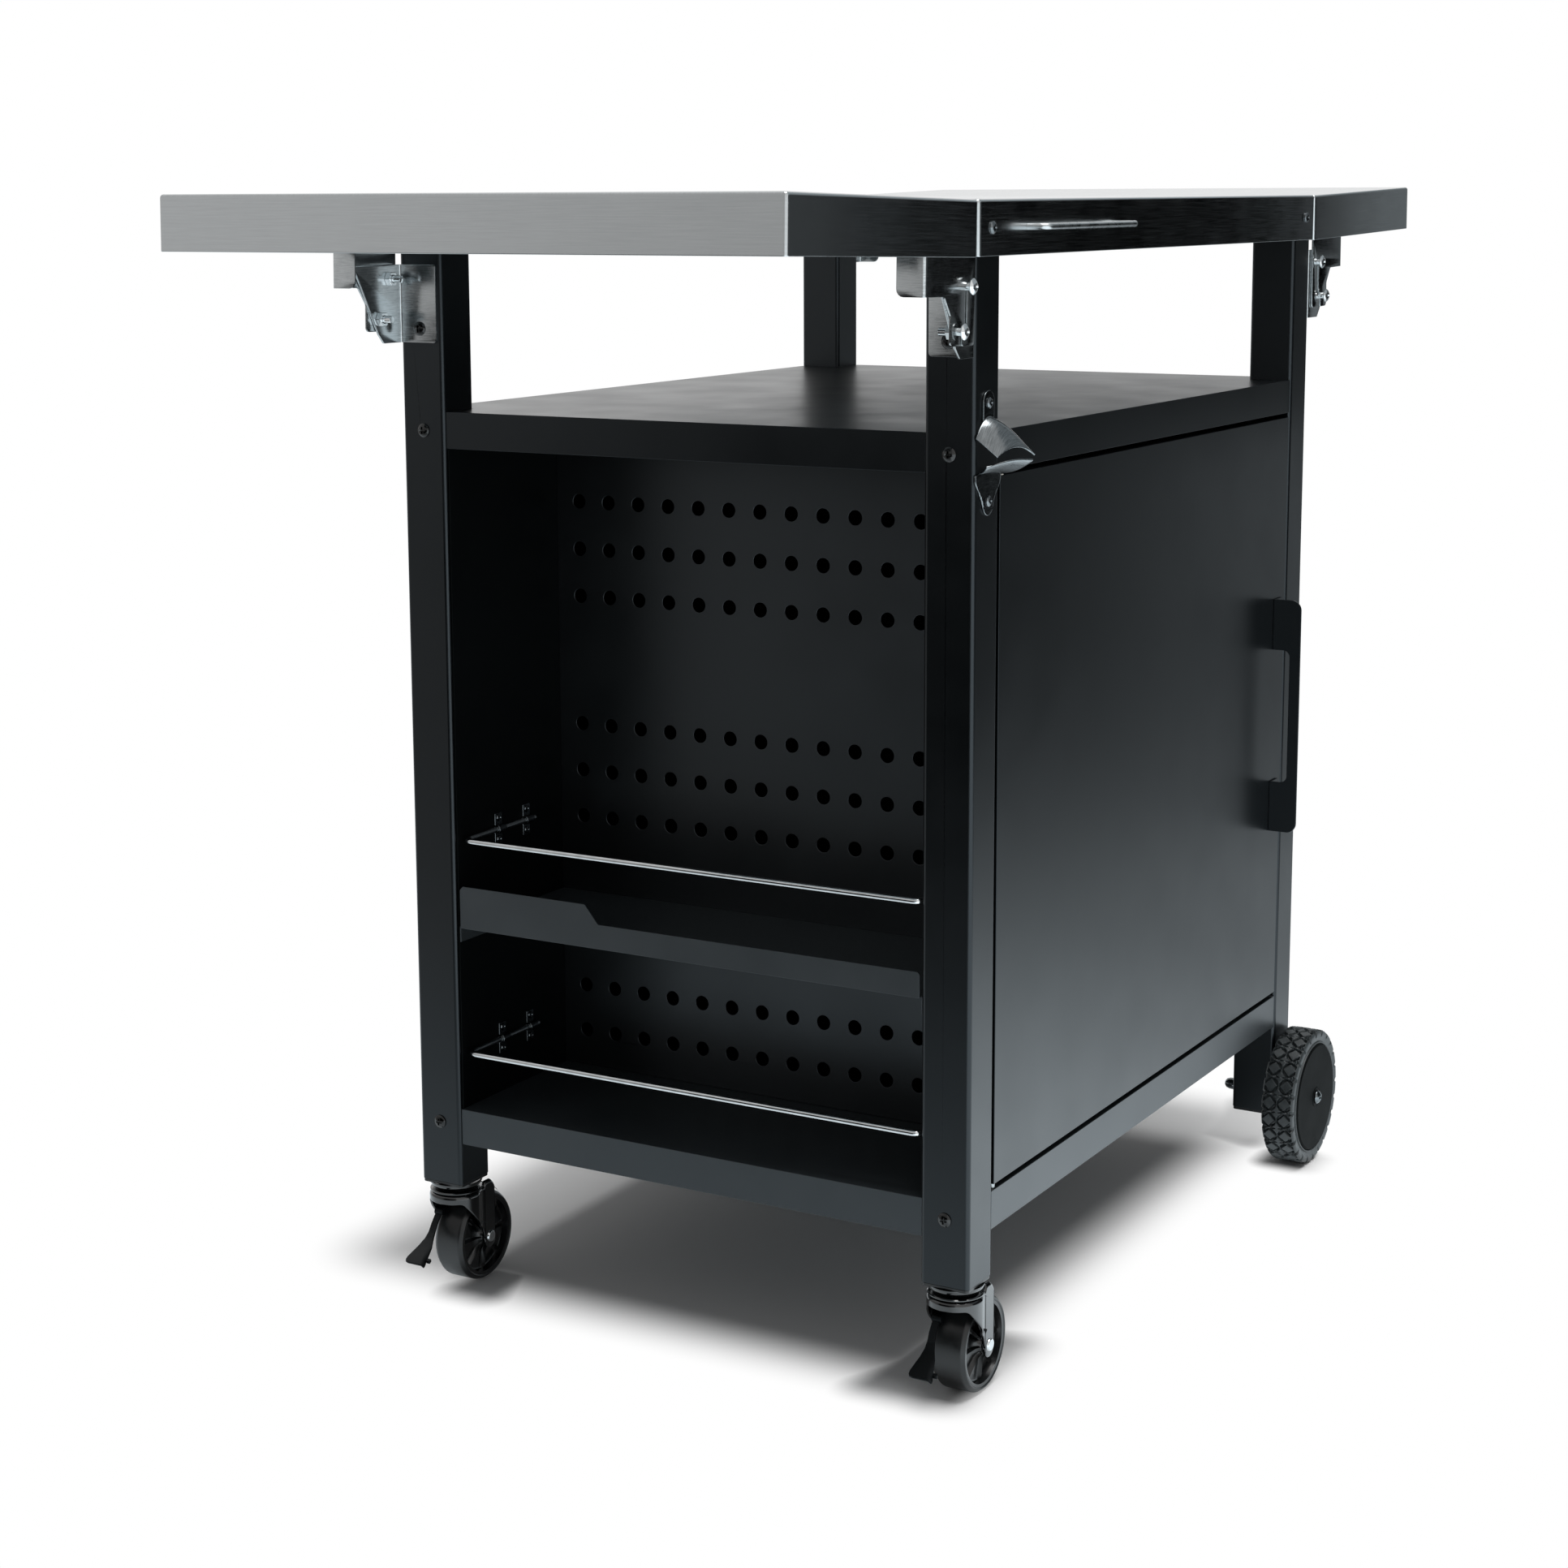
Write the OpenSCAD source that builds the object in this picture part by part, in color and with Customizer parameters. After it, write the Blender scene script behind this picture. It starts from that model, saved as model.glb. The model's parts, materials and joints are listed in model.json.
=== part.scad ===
// Worktable on wheels for a hot plate: steel cabinet, steel worktop, two folding leaves.
// Millimetres. X runs along the door side, the door faces -Y, Z is up, the floor is Z = 0.

/* [Cart] */
// Width over the four legs
cart_w = 686; // [640:1:740]
// Depth over the four legs
cart_d = 503; // [470:1:540]
// Height of the worktop surface
top_z = 895; // [870:1:930]
// Clear height from the upper deck to the worktop surface
deck_drop = 164; // [150:1:190]
// Height of the bottom deck surface
base_z = 160; // [156:1:175]
// Side of the square leg tube
leg_t = 40; // [36:1:42]
// Thickness of the folded sheets
sheet = 1.2; // [1:0.1:1.4]

/* [Worktop] */
// Height of the worktop aprons
slab_h = 40; // [36:1:44]
// Length of one folding leaf
leaf_len = 269; // [230:1:300]
// Upward tilt of the open leaves, degrees
leaf_tilt = 1.4; // [0:0.1:2]
// Diameter of the wire rail on the front apron
rail_d = 5; // [4:0.5:6]

/* [Cabinet] */
// Depth of the open side niche
niche_d = 152; // [130:1:170]
// Height of the mid shelf in the niche
shelf_z = 313; // [300:1:325]
// Diameter of the retaining rods
rod_d = 5; // [4:0.5:6]
// Diameter of the holes in the partition
hole_d = 12; // [8:0.5:14]
// Gap around the door
door_gap = 4; // [3:0.5:5]
// Height of the door handle
handle_h = 213; // [180:1:240]

/* [Wheels] */
// Radius of the caster wheels
caster_r = 37.5; // [34:0.5:40]
// Radius of the large wheels
wheel_r = 62.5; // [58:0.5:66]
// Width of the large wheels
wheel_w = 31; // [26:0.5:36]
// Radius of the bolts that the large wheels turn on
bolt_r = 3; // [3:0.5:5]

/* [Hidden] */
$fn = 48;
hx = cart_w / 2;
hy = cart_d / 2;
lx = hx - leg_t / 2;
ly = hy - leg_t / 2;
ix = hx - leg_t;
iy = hy - leg_t;
tube_wall = 1.5;
lip_h = 29;
base_lip = 30;
rin_x = 2.5;
rin_y = 1;
dx = hx - rin_x;
dy = hy - rin_y;
deck_z = top_z - deck_drop;
deck_lo = deck_z - sheet;
top_lo = top_z - sheet;
slab_lo = top_z - slab_h;
main_x = hx + 1.5;
main_y = hy + 3;
part_x = -dx + niche_d;
wall_y = iy - sheet;
caster_top = 2 * caster_r + 20;
wheel_leg = wheel_r - 15.5;
stem_r = 5.5;

// folding leaf
pin_x = hx + 16.5;
pin_z = slab_lo - 20;
pin_r = 3;
stop_dx = 12.5;
stop_dz = -31;
stop_len = sqrt(stop_dx * stop_dx + stop_dz * stop_dz);
stop_a = atan2(stop_dz, stop_dx);
fold = 90 + leaf_tilt;
plate_t = 1.5;
plate_y0 = main_y - sheet - plate_t;
plate_y1 = main_y - sheet;
web_t = 2;
leaf_in = hx + 4;
leaf_out = leaf_in + leaf_len;
flange_x = leaf_in + 78;
shank = 3.7;

// door
door_l = -ix + 2.4;
door_r = ix - 3.4;
door_lo = base_z + door_gap + 1;
door_hi = deck_z - lip_h - door_gap;
door_deep = 15;
door_y = -hy;
hinge_x = -ix + 8.6;
hinge_y = -hy + 5;
hinge_r = 2.5;
handle_x = 274;
grip_x = handle_x * ix / 303;
handle_z = 430;
handle_out = 26;

// helpers
module box(x0, x1, y0, y1, z0, z1) {
  translate([x0, y0, z0]) cube([x1 - x0, y1 - y0, z1 - z0]);
}
module xcyl(x0, x1, y, z, r) {
  translate([x0, y, z]) rotate([0, 90, 0]) cylinder(r = r, h = x1 - x0);
}
module ycyl(x, y0, y1, z, r) {
  translate([x, y0, z]) rotate([-90, 0, 0]) cylinder(r = r, h = y1 - y0);
}
module zcyl(x, y, z0, z1, r) {
  translate([x, y, z0]) cylinder(r = r, h = z1 - z0);
}
module xz(y0, y1) {
  translate([0, y1, 0]) rotate([90, 0, 0]) linear_extrude(height = y1 - y0) children();
}
module yz(x0, x1) {
  translate([x0, 0, 0]) rotate([90, 0, 90]) linear_extrude(height = x1 - x0) children();
}
module round_sq(w, d, r) {
  square([w - 2 * r, d], center = true);
  square([w, d - 2 * r], center = true);
  for (sx = [-1, 1], sy = [-1, 1])
    translate([sx * (w / 2 - r), sy * (d / 2 - r)]) circle(r = r, $fn = 32);
}
module slab_rect(x0, x1, y0, y1, r) {
  translate([(x0 + x1) / 2, (y0 + y1) / 2]) round_sq(x1 - x0, y1 - y0, r);
}
module ring(r0, r1, h) {
  difference() {
    cylinder(r = r1, h = h);
    translate([0, 0, -1]) cylinder(r = r0, h = h + 2);
  }
}

// pan head screw pointing along +Z, head above z = 0
module pan_screw(r, hr, hh, len) {
  rotate_extrude($fn = 32)
    polygon([[0, -len], [r, -len], [r, 0], [hr, 0], [hr, hh * 0.45], [hr * 0.8, hh * 0.85],
      [hr * 0.4, hh], [0, hh]]);
}
module hex_nut(ri, ro, h) {
  difference() {
    cylinder(r = ro, h = h, $fn = 6);
    translate([0, 0, -1]) cylinder(r = ri, h = h + 2, $fn = 32);
  }
}

// legs
module leg_tube(sx, sy, z0) {
  x = sx * lx;
  y = sy * ly;
  difference() {
    translate([x, y, z0]) linear_extrude(height = top_lo - z0) difference() {
      round_sq(leg_t, leg_t, 3.5);
      round_sq(leg_t - 2 * tube_wall, leg_t - 2 * tube_wall, 2);
    }
    ycyl(x, sy > 0 ? hy - 5 : -hy - 5, sy > 0 ? hy + 5 : -hy + 5, top_z - slab_h / 2, 2.1);
    for (z = [deck_z - 15, base_z - 13, pin_z - 39])
      xcyl(sx > 0 ? hx - 5 : -hx - 5, sx > 0 ? hx + 5 : -hx + 5, y, z, 2.1);
    if (sx > 0)
      ycyl(x, y - leg_t, y + leg_t, wheel_r, bolt_r + 0.05);
    if (sx < 0 && sy < 0)
      for (z = [opener_z + 32, opener_z - 38])
        ycyl(x, -hy - 5, -hy + 5, z, 2.1);
  }
}
module leg_front_left() color("#202426") leg_tube(-1, -1, caster_top);
module leg_back_left() color("#202426") leg_tube(-1, 1, caster_top);
module leg_front_right() color("#202426") leg_tube(1, -1, wheel_leg);
module leg_back_right() color("#202426") leg_tube(1, 1, wheel_leg);

// plastic plugs: plain under the wheel legs, bored for the stem over the casters
module plug_solid(h) {
  linear_extrude(height = 2.5) round_sq(leg_t - 1, leg_t - 1, 3);
  translate([0, 0, 2.4]) linear_extrude(height = h)
    round_sq(leg_t - 2 * tube_wall - 0.2, leg_t - 2 * tube_wall - 0.2, 2);
}
module leg_caps() {
  color("#141617") {
    for (sy = [-1, 1]) {
      translate([lx, sy * ly, wheel_leg - 2.5]) plug_solid(6);
      difference() {
        translate([-lx, sy * ly, caster_top - 2.5]) plug_solid(24);
        zcyl(-lx, sy * ly, caster_top - 10, caster_top + 40, stem_r + 0.05);
      }
    }
  }
}

// decks
module cross2d() {
  difference() {
    square([2 * dx, 2 * dy], center = true);
    for (sx = [-1, 1], sy = [-1, 1])
      translate([sx * (ix + 50), sy * (iy + 50)]) square([100, 100], center = true);
  }
}
module deck(z, lip) {
  translate([0, 0, z - sheet]) linear_extrude(height = sheet) cross2d();
  for (s = [-1, 1]) {
    box(s > 0 ? dx - sheet : -dx, s > 0 ? dx : -dx + sheet, -iy, iy, z - lip, z);
    box(-ix, ix, s > 0 ? dy - sheet : -dy, s > 0 ? dy : -dy + sheet, z - lip, z);
  }
}
module upper_deck() {
  color("#202426") difference() {
    union() {
      deck(deck_z, lip_h);
      box(-ix, ix, -dy, -dy + 14, deck_z - lip_h, deck_z - lip_h + sheet);
    }
    zcyl(hinge_x, hinge_y, deck_z - lip_h - 5, deck_z - lip_h + 5, hinge_r + 0.02);
  }
}
module bottom_deck() {
  color("#202426") difference() {
    deck(base_z, base_lip);
    zcyl(hinge_x, hinge_y, base_z - 5, base_z + 5, hinge_r + 0.02);
  }
}

// cabinet walls
module back_panel() {
  color("#1d2022") box(-ix, ix, dy - 2 * sheet, dy - sheet, base_z, deck_lo);
}
module right_panel() {
  color("#1d2022") box(dx - 2 * sheet, dx - sheet, -iy, iy, base_z, deck_lo);
}
perf_pitch = 29;
perf_rise = 39.7;
perf_group = 188;
perf_mid = 419.3;
module perf2d() {
  ny = floor((iy - 22) / perf_pitch - 0.5);
  for (g = [-1, 0, 1], r = [-1, 0, 1], c = [-ny - 1 : ny])
    translate([(c + 0.5) * perf_pitch, perf_mid + g * perf_group + r * perf_rise])
      circle(r = hole_d / 2, $fn = 32);
}
module partition() {
  color("#202426") yz(part_x, part_x + sheet) difference() {
    translate([-hy + 20, base_z]) square([hy - 20 + dy - 2 * sheet, deck_lo - base_z]);
    perf2d();
  }
}
module niche_wall(s) {
  difference() {
    box(-dx + sheet + 0.2, part_x, s > 0 ? wall_y : -iy, s > 0 ? iy : -wall_y, base_z, deck_lo);
    for (x = clip_x, z = rod_z, d = [-1, 1])
      ycyl(x, s * iy - 4, s * iy + 4, z + d * 9, 1.6);
  }
}
module niche_wall_front() color("#1d2022") niche_wall(-1);
module niche_wall_back() color("#1d2022") niche_wall(1);

// mid shelf with its stepped front lip
module shelf_lip2d() {
  w = iy - 3;
  polygon([[-w, shelf_z], [w, shelf_z], [w, shelf_z + 32], [w - 3, shelf_z + 35],
    [0.42 * w, shelf_z + 35], [0.36 * w, shelf_z + 20], [-w + 2, shelf_z + 20],
    [-w, shelf_z + 18]]);
}
module mid_shelf() {
  color("#202426") {
    yz(-dx, -dx + sheet) shelf_lip2d();
    box(-dx, -dx + sheet + 0.3, -iy + 3, iy - 3, shelf_z, shelf_z + sheet);
    box(-dx + sheet + 0.3, part_x, -wall_y, wall_y, shelf_z, shelf_z + sheet);
    for (s = [-1, 1])
      box(-dx + sheet + 0.3, part_x - 2, s > 0 ? wall_y - sheet : -wall_y,
        s > 0 ? wall_y : -wall_y + sheet, shelf_z - 12, shelf_z + sheet);
  }
}

// bottle rods and their saddles
rod_z = [shelf_z + 71.8, base_z + 46.7];
rod_x = -dx + 5.5;
rod_y = wall_y - rod_d / 2;
clip_x = [-dx + 57, -dx + 97];
bend = 9;
rod_arm = clip_x[1] + 9;
module rod(z) {
  ycyl(rod_x, -rod_y + bend, rod_y - bend, z, rod_d / 2);
  for (s = [-1, 1]) {
    xcyl(rod_x + bend, rod_arm, s * rod_y, z, rod_d / 2);
    translate([rod_x + bend, s * (rod_y - bend), z]) rotate([0, 0, s > 0 ? 90 : 180])
      rotate_extrude(angle = 90) translate([bend, 0]) circle(r = rod_d / 2, $fn = 24);
  }
}
module retaining_rods() color("#d8dadb") for (z = rod_z) rod(z);
module rod_clips() {
  color("#d8dadb") for (x = clip_x, z = rod_z, s = [-1, 1]) difference() {
    union() {
      box(x - 5, x + 5, s > 0 ? wall_y - 1.2 : -wall_y, s > 0 ? wall_y : -wall_y + 1.2, z - 13,
        z + 13);
      intersection() {
        xcyl(x - 5, x + 5, s * rod_y, z, rod_d / 2 + 1.3);
        box(x - 6, x + 6, s > 0 ? 0 : -wall_y, s > 0 ? wall_y : 0, z - 9, z + 9);
      }
    }
    xcyl(x - 6, x + 6, s * rod_y, z, rod_d / 2 + 0.05);
    for (d = [-1, 1])
      ycyl(x, s * wall_y - 4, s * wall_y + 4, z + d * 9, 1.6);
  }
}

// worktop
rail_x = [-0.77 * hx, -0.29 * hx];
rail_z = top_z - 20;
module main_top() {
  color("#c9cccd") difference() {
    union() {
      box(-main_x, main_x, -main_y, main_y, top_lo, top_z);
      for (s = [-1, 1]) {
        box(s > 0 ? main_x - sheet : -main_x, s > 0 ? main_x : -main_x + sheet, -main_y, main_y,
          slab_lo, top_z);
        box(-main_x, main_x, s > 0 ? main_y - sheet : -main_y, s > 0 ? main_y : -main_y + sheet,
          slab_lo, top_z);
        box(-ix + 2, ix - 2, s > 0 ? main_y - 14 : -main_y, s > 0 ? main_y : -main_y + 14,
          slab_lo, slab_lo + sheet);
      }
    }
    for (sx = [-1, 1], sy = [-1, 1])
      ycyl(sx * lx, sy * main_y - 4, sy * main_y + 4, top_z - slab_h / 2, 2.1);
    for (x = rail_x)
      ycyl(x, -main_y - 4, -main_y + 4, rail_z, 2.05);
  }
}
module wire_rail() {
  r = rail_d / 2;
  y0 = -main_y;
  y1 = -main_y - 15;
  b = 6;
  color("#d8dadb") {
    xcyl(rail_x[0] + b, rail_x[1] - b, y1, rail_z, r);
    for (i = [0, 1]) {
      x = rail_x[i];
      s = i == 0 ? 1 : -1;
      ycyl(x, y1 + b, y0, rail_z, r);
      ycyl(x, y0 - 0.1, y0 + 9, rail_z, 2);
      translate([x + s * b, y1 + b, rail_z]) rotate([0, 0, i == 0 ? 180 : 270])
        rotate_extrude(angle = 90) translate([b, 0]) circle(r = r, $fn = 24);
    }
  }
}

// bottle opener on the front left leg
opener_z = 720;
module opener_plate2d() {
  difference() {
    union() {
      translate([-9, 6]) square([18, 26]);
      translate([0, 32]) circle(r = 9);
      polygon([[-20, -20], [-20, 8], [-9, 17], [9, 17], [20, 16], [20, -20], [8, -42],
        [-8, -42]]);
      translate([0, -40]) circle(r = 8.4);
    }
    translate([-13, -17]) square([26, 20]);
    translate([0, 32]) circle(r = 2.1, $fn = 32);
    translate([0, -38]) circle(r = 2.1, $fn = 32);
  }
}
module opener_plan(left, right) {
  translate([0, 0, -30]) linear_extrude(height = 60)
    polygon([[-20, 0], [-20, -left], [20, -right], [20, 0]]);
}
module bottle_opener() {
  t = 1.5;
  color("#c3c6c7") translate([-lx, -hy, opener_z]) {
    xz(-t, 0) opener_plate2d();
    intersection() {
      yz(-20, 20) polygon([[-t, 17], [-9, 14.5], [-29, -4.5], [-29, -6.3], [-9.5, 12.6],
        [-t, 15.1]]);
      opener_plan(18.5, 28.5);
    }
    intersection() {
      yz(-14, 20) polygon([[-t, -20], [-t, -18], [-15, -14.6], [-22, -11.4], [-27, -8],
        [-27.8, -9.4], [-22.6, -13], [-15.4, -16.4]]);
      opener_plan(8, 26.5);
    }
  }
}

// folding brackets, drawn for the right front corner and mirrored
module corner(sx, sy) {
  mirror([sx < 0 ? 1 : 0, 0, 0]) mirror([0, sy > 0 ? 1 : 0, 0]) children();
}
web_top = pin_z + pin_x - leaf_in - sheet - 0.4;
module leg_bracket() {
  y0 = -hy;
  difference() {
    union() {
      xz(y0, y0 + web_t) polygon([[hx, pin_z - 50], [pin_x + 7.5, pin_z - 50],
        [pin_x + 14, pin_z - 43], [pin_x + 32.5, pin_z - 9], [pin_x + 41, pin_z + 6],
        [pin_x + 41, web_top], [hx, web_top]]);
      box(hx, hx + web_t, y0, y0 + leg_t - 4, pin_z - 50, web_top);
    }
    ycyl(pin_x, y0 - 2, y0 + 4, pin_z, pin_r + 0.02);
    ycyl(pin_x + stop_dx, y0 - 2, y0 + 4, pin_z + stop_dz, pin_r + 0.02);
    xcyl(hx - 2, hx + 5, -ly, pin_z - 39, 2.1);
  }
}
module leg_bracket_fl() color("#c9cccd") corner(-1, -1) leg_bracket();
module leg_bracket_bl() color("#c9cccd") corner(-1, 1) leg_bracket();
module leg_bracket_fr() color("#c9cccd") corner(1, -1) leg_bracket();
module leg_bracket_br() color("#c9cccd") corner(1, 1) leg_bracket();

module pivot_bolts() {
  color("#d8dadb") for (sx = [-1, 1], sy = [-1, 1]) corner(sx, sy)
    translate([pin_x, -plate_y1 - shank, pin_z]) rotate([90, 0, 0])
      pan_screw(pin_r, 5.8, 3.4, shank + 17);
}
module stop_pins() {
  color("#d8dadb") for (sx = [-1, 1], sy = [-1, 1]) corner(sx, sy)
    ycyl(pin_x + stop_dx, -plate_y0 - 0.75, -hy + 14, pin_z + stop_dz, pin_r);
}
module bright_nuts() {
  color("#c3c6c7") {
    for (sx = [-1, 1], sy = [-1, 1]) corner(sx, sy) {
      for (p = [[pin_x, pin_z], [pin_x + stop_dx, pin_z + stop_dz]])
        translate([p[0], -hy + web_t, p[1]]) rotate([-90, 0, 0]) hex_nut(pin_r + 0.02, 6, 5);
    }
    for (x = rail_x)
      translate([x, -main_y + sheet, rail_z]) rotate([-90, 0, 0]) hex_nut(2.05, 4.2, 3.2);
    for (sy = [-1, 1]) translate([lx, sy * iy, wheel_r]) rotate([sy > 0 ? 90 : -90, 0, 0])
      hex_nut(bolt_r + 0.02, bolt_r + 2.8, nut_h);
  }
}
module black_screws() {
  color("#1a1c1d") for (sx = [-1, 1], sy = [-1, 1]) corner(sx, sy) {
    for (z = [deck_z - 15, base_z - 13])
      translate([hx, -ly, z]) rotate([0, 90, 0]) pan_screw(2, 5.5, 3, 9);
    translate([hx + web_t, -ly, pin_z - 39]) rotate([0, 90, 0]) pan_screw(2, 5.5, 3, 9);
  }
}
module bright_screws() {
  color("#d8dadb") {
    for (sx = [-1, 1], sy = [-1, 1]) corner(sx, sy)
      translate([lx, -main_y, top_z - slab_h / 2]) rotate([90, 0, 0]) pan_screw(2, 4.6, 2.6, 9);
    for (z = [opener_z + 32, opener_z - 38])
      translate([-lx, -hy - 1.5, z]) rotate([90, 0, 0]) pan_screw(2, 4, 2.2, 8);
    for (x = clip_x, z = rod_z, s = [-1, 1], d = [-1, 1])
      translate([x, s * (wall_y - 1.2), z + d * 9]) rotate([s > 0 ? 90 : -90, 0, 0])
        pan_screw(1.55, 3, 1.6, 6);
  }
}

// door
module door_pins() {
  color("#8d9091") {
    zcyl(hinge_x, hinge_y, base_z - sheet, door_lo + 9, hinge_r);
    zcyl(hinge_x, hinge_y, door_hi - 9, deck_z - lip_h + sheet, hinge_r);
  }
}
module door_panel() {
  color("#2a2e30") difference() {
    union() {
      box(door_l, door_r, door_y, door_y + sheet, door_lo, door_hi);
      box(door_l, door_l + sheet, door_y, door_y + door_deep, door_lo, door_hi);
      box(door_r - sheet, door_r, door_y, door_y + door_deep, door_lo, door_hi);
      box(door_l, door_r, door_y, door_y + door_deep, door_lo, door_lo + sheet);
      box(door_l, door_r, door_y, door_y + door_deep, door_hi - sheet, door_hi);
    }
    zcyl(hinge_x, hinge_y, door_lo - 5, door_lo + 5, hinge_r + 0.8);
    zcyl(hinge_x, hinge_y, door_hi - 5, door_hi + 5, hinge_r + 0.8);
    for (z = foot_z)
      ycyl(grip_x + 8, door_y - 3, door_y + 3, z, 1.6);
  }
}
// inner pan that stiffens the door, spot welded to the outer skin's flanges
module door_liner() {
  x0 = door_l + sheet + 18;
  x1 = door_r - sheet;
  y1 = door_y + door_deep;
  color("#26292b") {
    box(x0, x1, y1 - sheet, y1, door_lo + sheet, door_hi - sheet);
    box(x0, x0 + sheet, door_y + sheet, y1, door_lo + sheet, door_hi - sheet);
  }
}
module door_bushes() {
  color("#e6e6e2") for (e = [0, 1]) {
    z = e == 0 ? door_lo : door_hi;
    d = e == 0 ? 1 : -1;
    translate([hinge_x, hinge_y, z]) mirror([0, 0, e]) difference() {
      union() {
        translate([0, 0, -0.8]) cylinder(r = 4.2, h = 0.8);
        translate([0, 0, -0.1]) cylinder(r = hinge_r + 0.8, h = 8);
      }
      translate([0, 0, -2]) cylinder(r = hinge_r + 0.06, h = 14);
    }
  }
}
foot_h = 46;
foot_z = [handle_z - handle_h / 2 + 12, handle_z - handle_h / 2 + 34,
  handle_z + handle_h / 2 - 34, handle_z + handle_h / 2 - 12];
module handle2d() {
  z0 = handle_z - handle_h / 2;
  z1 = handle_z + handle_h / 2;
  difference() {
    union() {
      translate([0, z0]) square([handle_out - 9, handle_h]);
      translate([0, z0 + 9]) square([handle_out, handle_h - 18]);
      for (z = [z0 + 9, z1 - 9])
        translate([handle_out - 9, z]) circle(r = 9);
    }
    translate([-1, z0 + foot_h]) square([11, handle_h - 2 * foot_h]);
    translate([-1, z0 + foot_h + 6]) square([17, handle_h - 2 * foot_h - 12]);
    for (z = [z0 + foot_h + 6, z1 - foot_h - 6])
      translate([10, z]) circle(r = 6);
  }
}
module door_handle() {
  t = 1.6;
  color("#202426") difference() {
    union() {
      translate([grip_x, door_y, 0]) mirror([0, 1, 0]) yz(-t, 0) handle2d();
      for (e = [0, 1]) {
        z0 = e == 0 ? handle_z - handle_h / 2 : handle_z + handle_h / 2 - foot_h;
        box(grip_x - t, grip_x + 16, door_y - t, door_y, z0, z0 + foot_h);
      }
    }
    for (z = foot_z)
      ycyl(grip_x + 8, door_y - 4, door_y + 1, z, 1.6);
  }
}
module door_screws() {
  color("#1a1c1d") for (z = foot_z)
    translate([grip_x + 8, door_y - 1.6, z]) rotate([90, 0, 0]) pan_screw(1.55, 3.4, 1.8, 6);
}
// magnet holder under the upper deck flange, behind the door's free edge
module catch_magnet() {
  z1 = deck_z - lip_h;
  color("#3a3d3f") {
    box(ix - 62, ix - 22, -dy + door_deep + 0.2, -dy + door_deep + 14, z1 - 16, z1);
    box(ix - 62, ix - 22, -dy + 2, -dy + door_deep + 14, z1 + sheet, z1 + 2 * sheet);
    box(ix - 62, ix - 22, -dy + 14, -dy + door_deep + 14, z1 - 1, z1 + 2 * sheet);
  }
}

// folding leaves, drawn for the right side and mirrored
module leaf_pose() {
  translate([pin_x, 0, pin_z]) rotate([0, -leaf_tilt, 0]) translate([-pin_x, 0, -pin_z])
    children();
}
module leaf_top() {
  leaf_pose() {
    box(leaf_in, leaf_out, -main_y, main_y, top_lo, top_z);
    for (s = [-1, 1])
      box(leaf_in, leaf_out, s > 0 ? main_y - sheet : -main_y, s > 0 ? main_y : -main_y + sheet,
        slab_lo, top_z);
    box(leaf_in, leaf_in + sheet, -main_y, main_y, slab_lo, top_z);
    box(leaf_out - sheet, leaf_out, -main_y, main_y, slab_lo, top_z);
    box(leaf_out - 14, leaf_out, -main_y, main_y, slab_lo, slab_lo + sheet);
  }
}
module leaf_plate2d() {
  difference() {
    polygon([[leaf_in + sheet, top_lo - 3], [leaf_in + sheet, slab_lo], [leaf_in + 0.5, slab_lo],
      [leaf_in + 0.5, pin_z - 38], [leaf_in + 3.5, pin_z - 41], [pin_x + 23, pin_z - 41],
      [pin_x + 25.5, pin_z - 38], [pin_x + 25.5, pin_z - 20], [pin_x + 35.5, pin_z - 7],
      [flange_x, pin_z - 7], [flange_x, top_lo - 3]]);
    translate([pin_x, pin_z]) circle(r = pin_r + 0.05);
    polygon([[pin_x - 1, pin_z], [pin_x + 2.9, pin_z], [pin_x + 4.2, pin_z - 3],
      [pin_x + 4.2, pin_z - 26], [pin_x + 10.5, pin_z - 33], [pin_x + 10.5, pin_z - 50],
      [pin_x + 6.5, pin_z - 50], [pin_x + 6.5, pin_z - 35], [pin_x - 1, pin_z - 28]]);
  }
}
module arc2d(r, w, a0, a1) {
  n = 24;
  polygon(concat([for (i = [0 : n]) let (a = a0 + (a1 - a0) * i / n)
    [(r + w) * cos(a), (r + w) * sin(a)]],
    [for (i = [n : -1 : 0]) let (a = a0 + (a1 - a0) * i / n)
    [(r - w) * cos(a), (r - w) * sin(a)]]));
  for (a = [a0, a1])
    translate([r * cos(a), r * sin(a)]) circle(r = w);
}
module leaf_plate() {
  difference() {
    union() {
      xz(-plate_y1, -plate_y0) leaf_plate2d();
      box(flange_x - plate_t, flange_x, -plate_y1, -plate_y1 + 22, pin_z - 7, top_lo - 3);
    }
    xz(-plate_y0 - 0.9, -plate_y0 + 2) translate([pin_x, pin_z])
      rotate(-leaf_tilt) arc2d(stop_len, pin_r + 0.15, stop_a, stop_a + fold + 1);
  }
}
module leaf_plates() leaf_pose() for (s = [0, 1]) mirror([0, s, 0]) leaf_plate();
module leaf_studs() {
  leaf_pose() for (s = [0, 1]) mirror([0, s, 0])
    translate([pin_x + stop_dx, -plate_y1 - shank, pin_z + stop_dz]) rotate([90, 0, 0])
      pan_screw(2.8, 5.8, 3.4, shank);
}
module leaf_right_top() color("#c9cccd") leaf_top();
module leaf_right_plates() color("#c3c6c7") leaf_plates();
module leaf_right_studs() color("#d8dadb") leaf_studs();
module leaf_left_top() color("#c9cccd") mirror([1, 0, 0]) leaf_top();
module leaf_left_plates() color("#c3c6c7") mirror([1, 0, 0]) leaf_plates();
module leaf_left_studs() color("#d8dadb") mirror([1, 0, 0]) leaf_studs();

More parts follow.
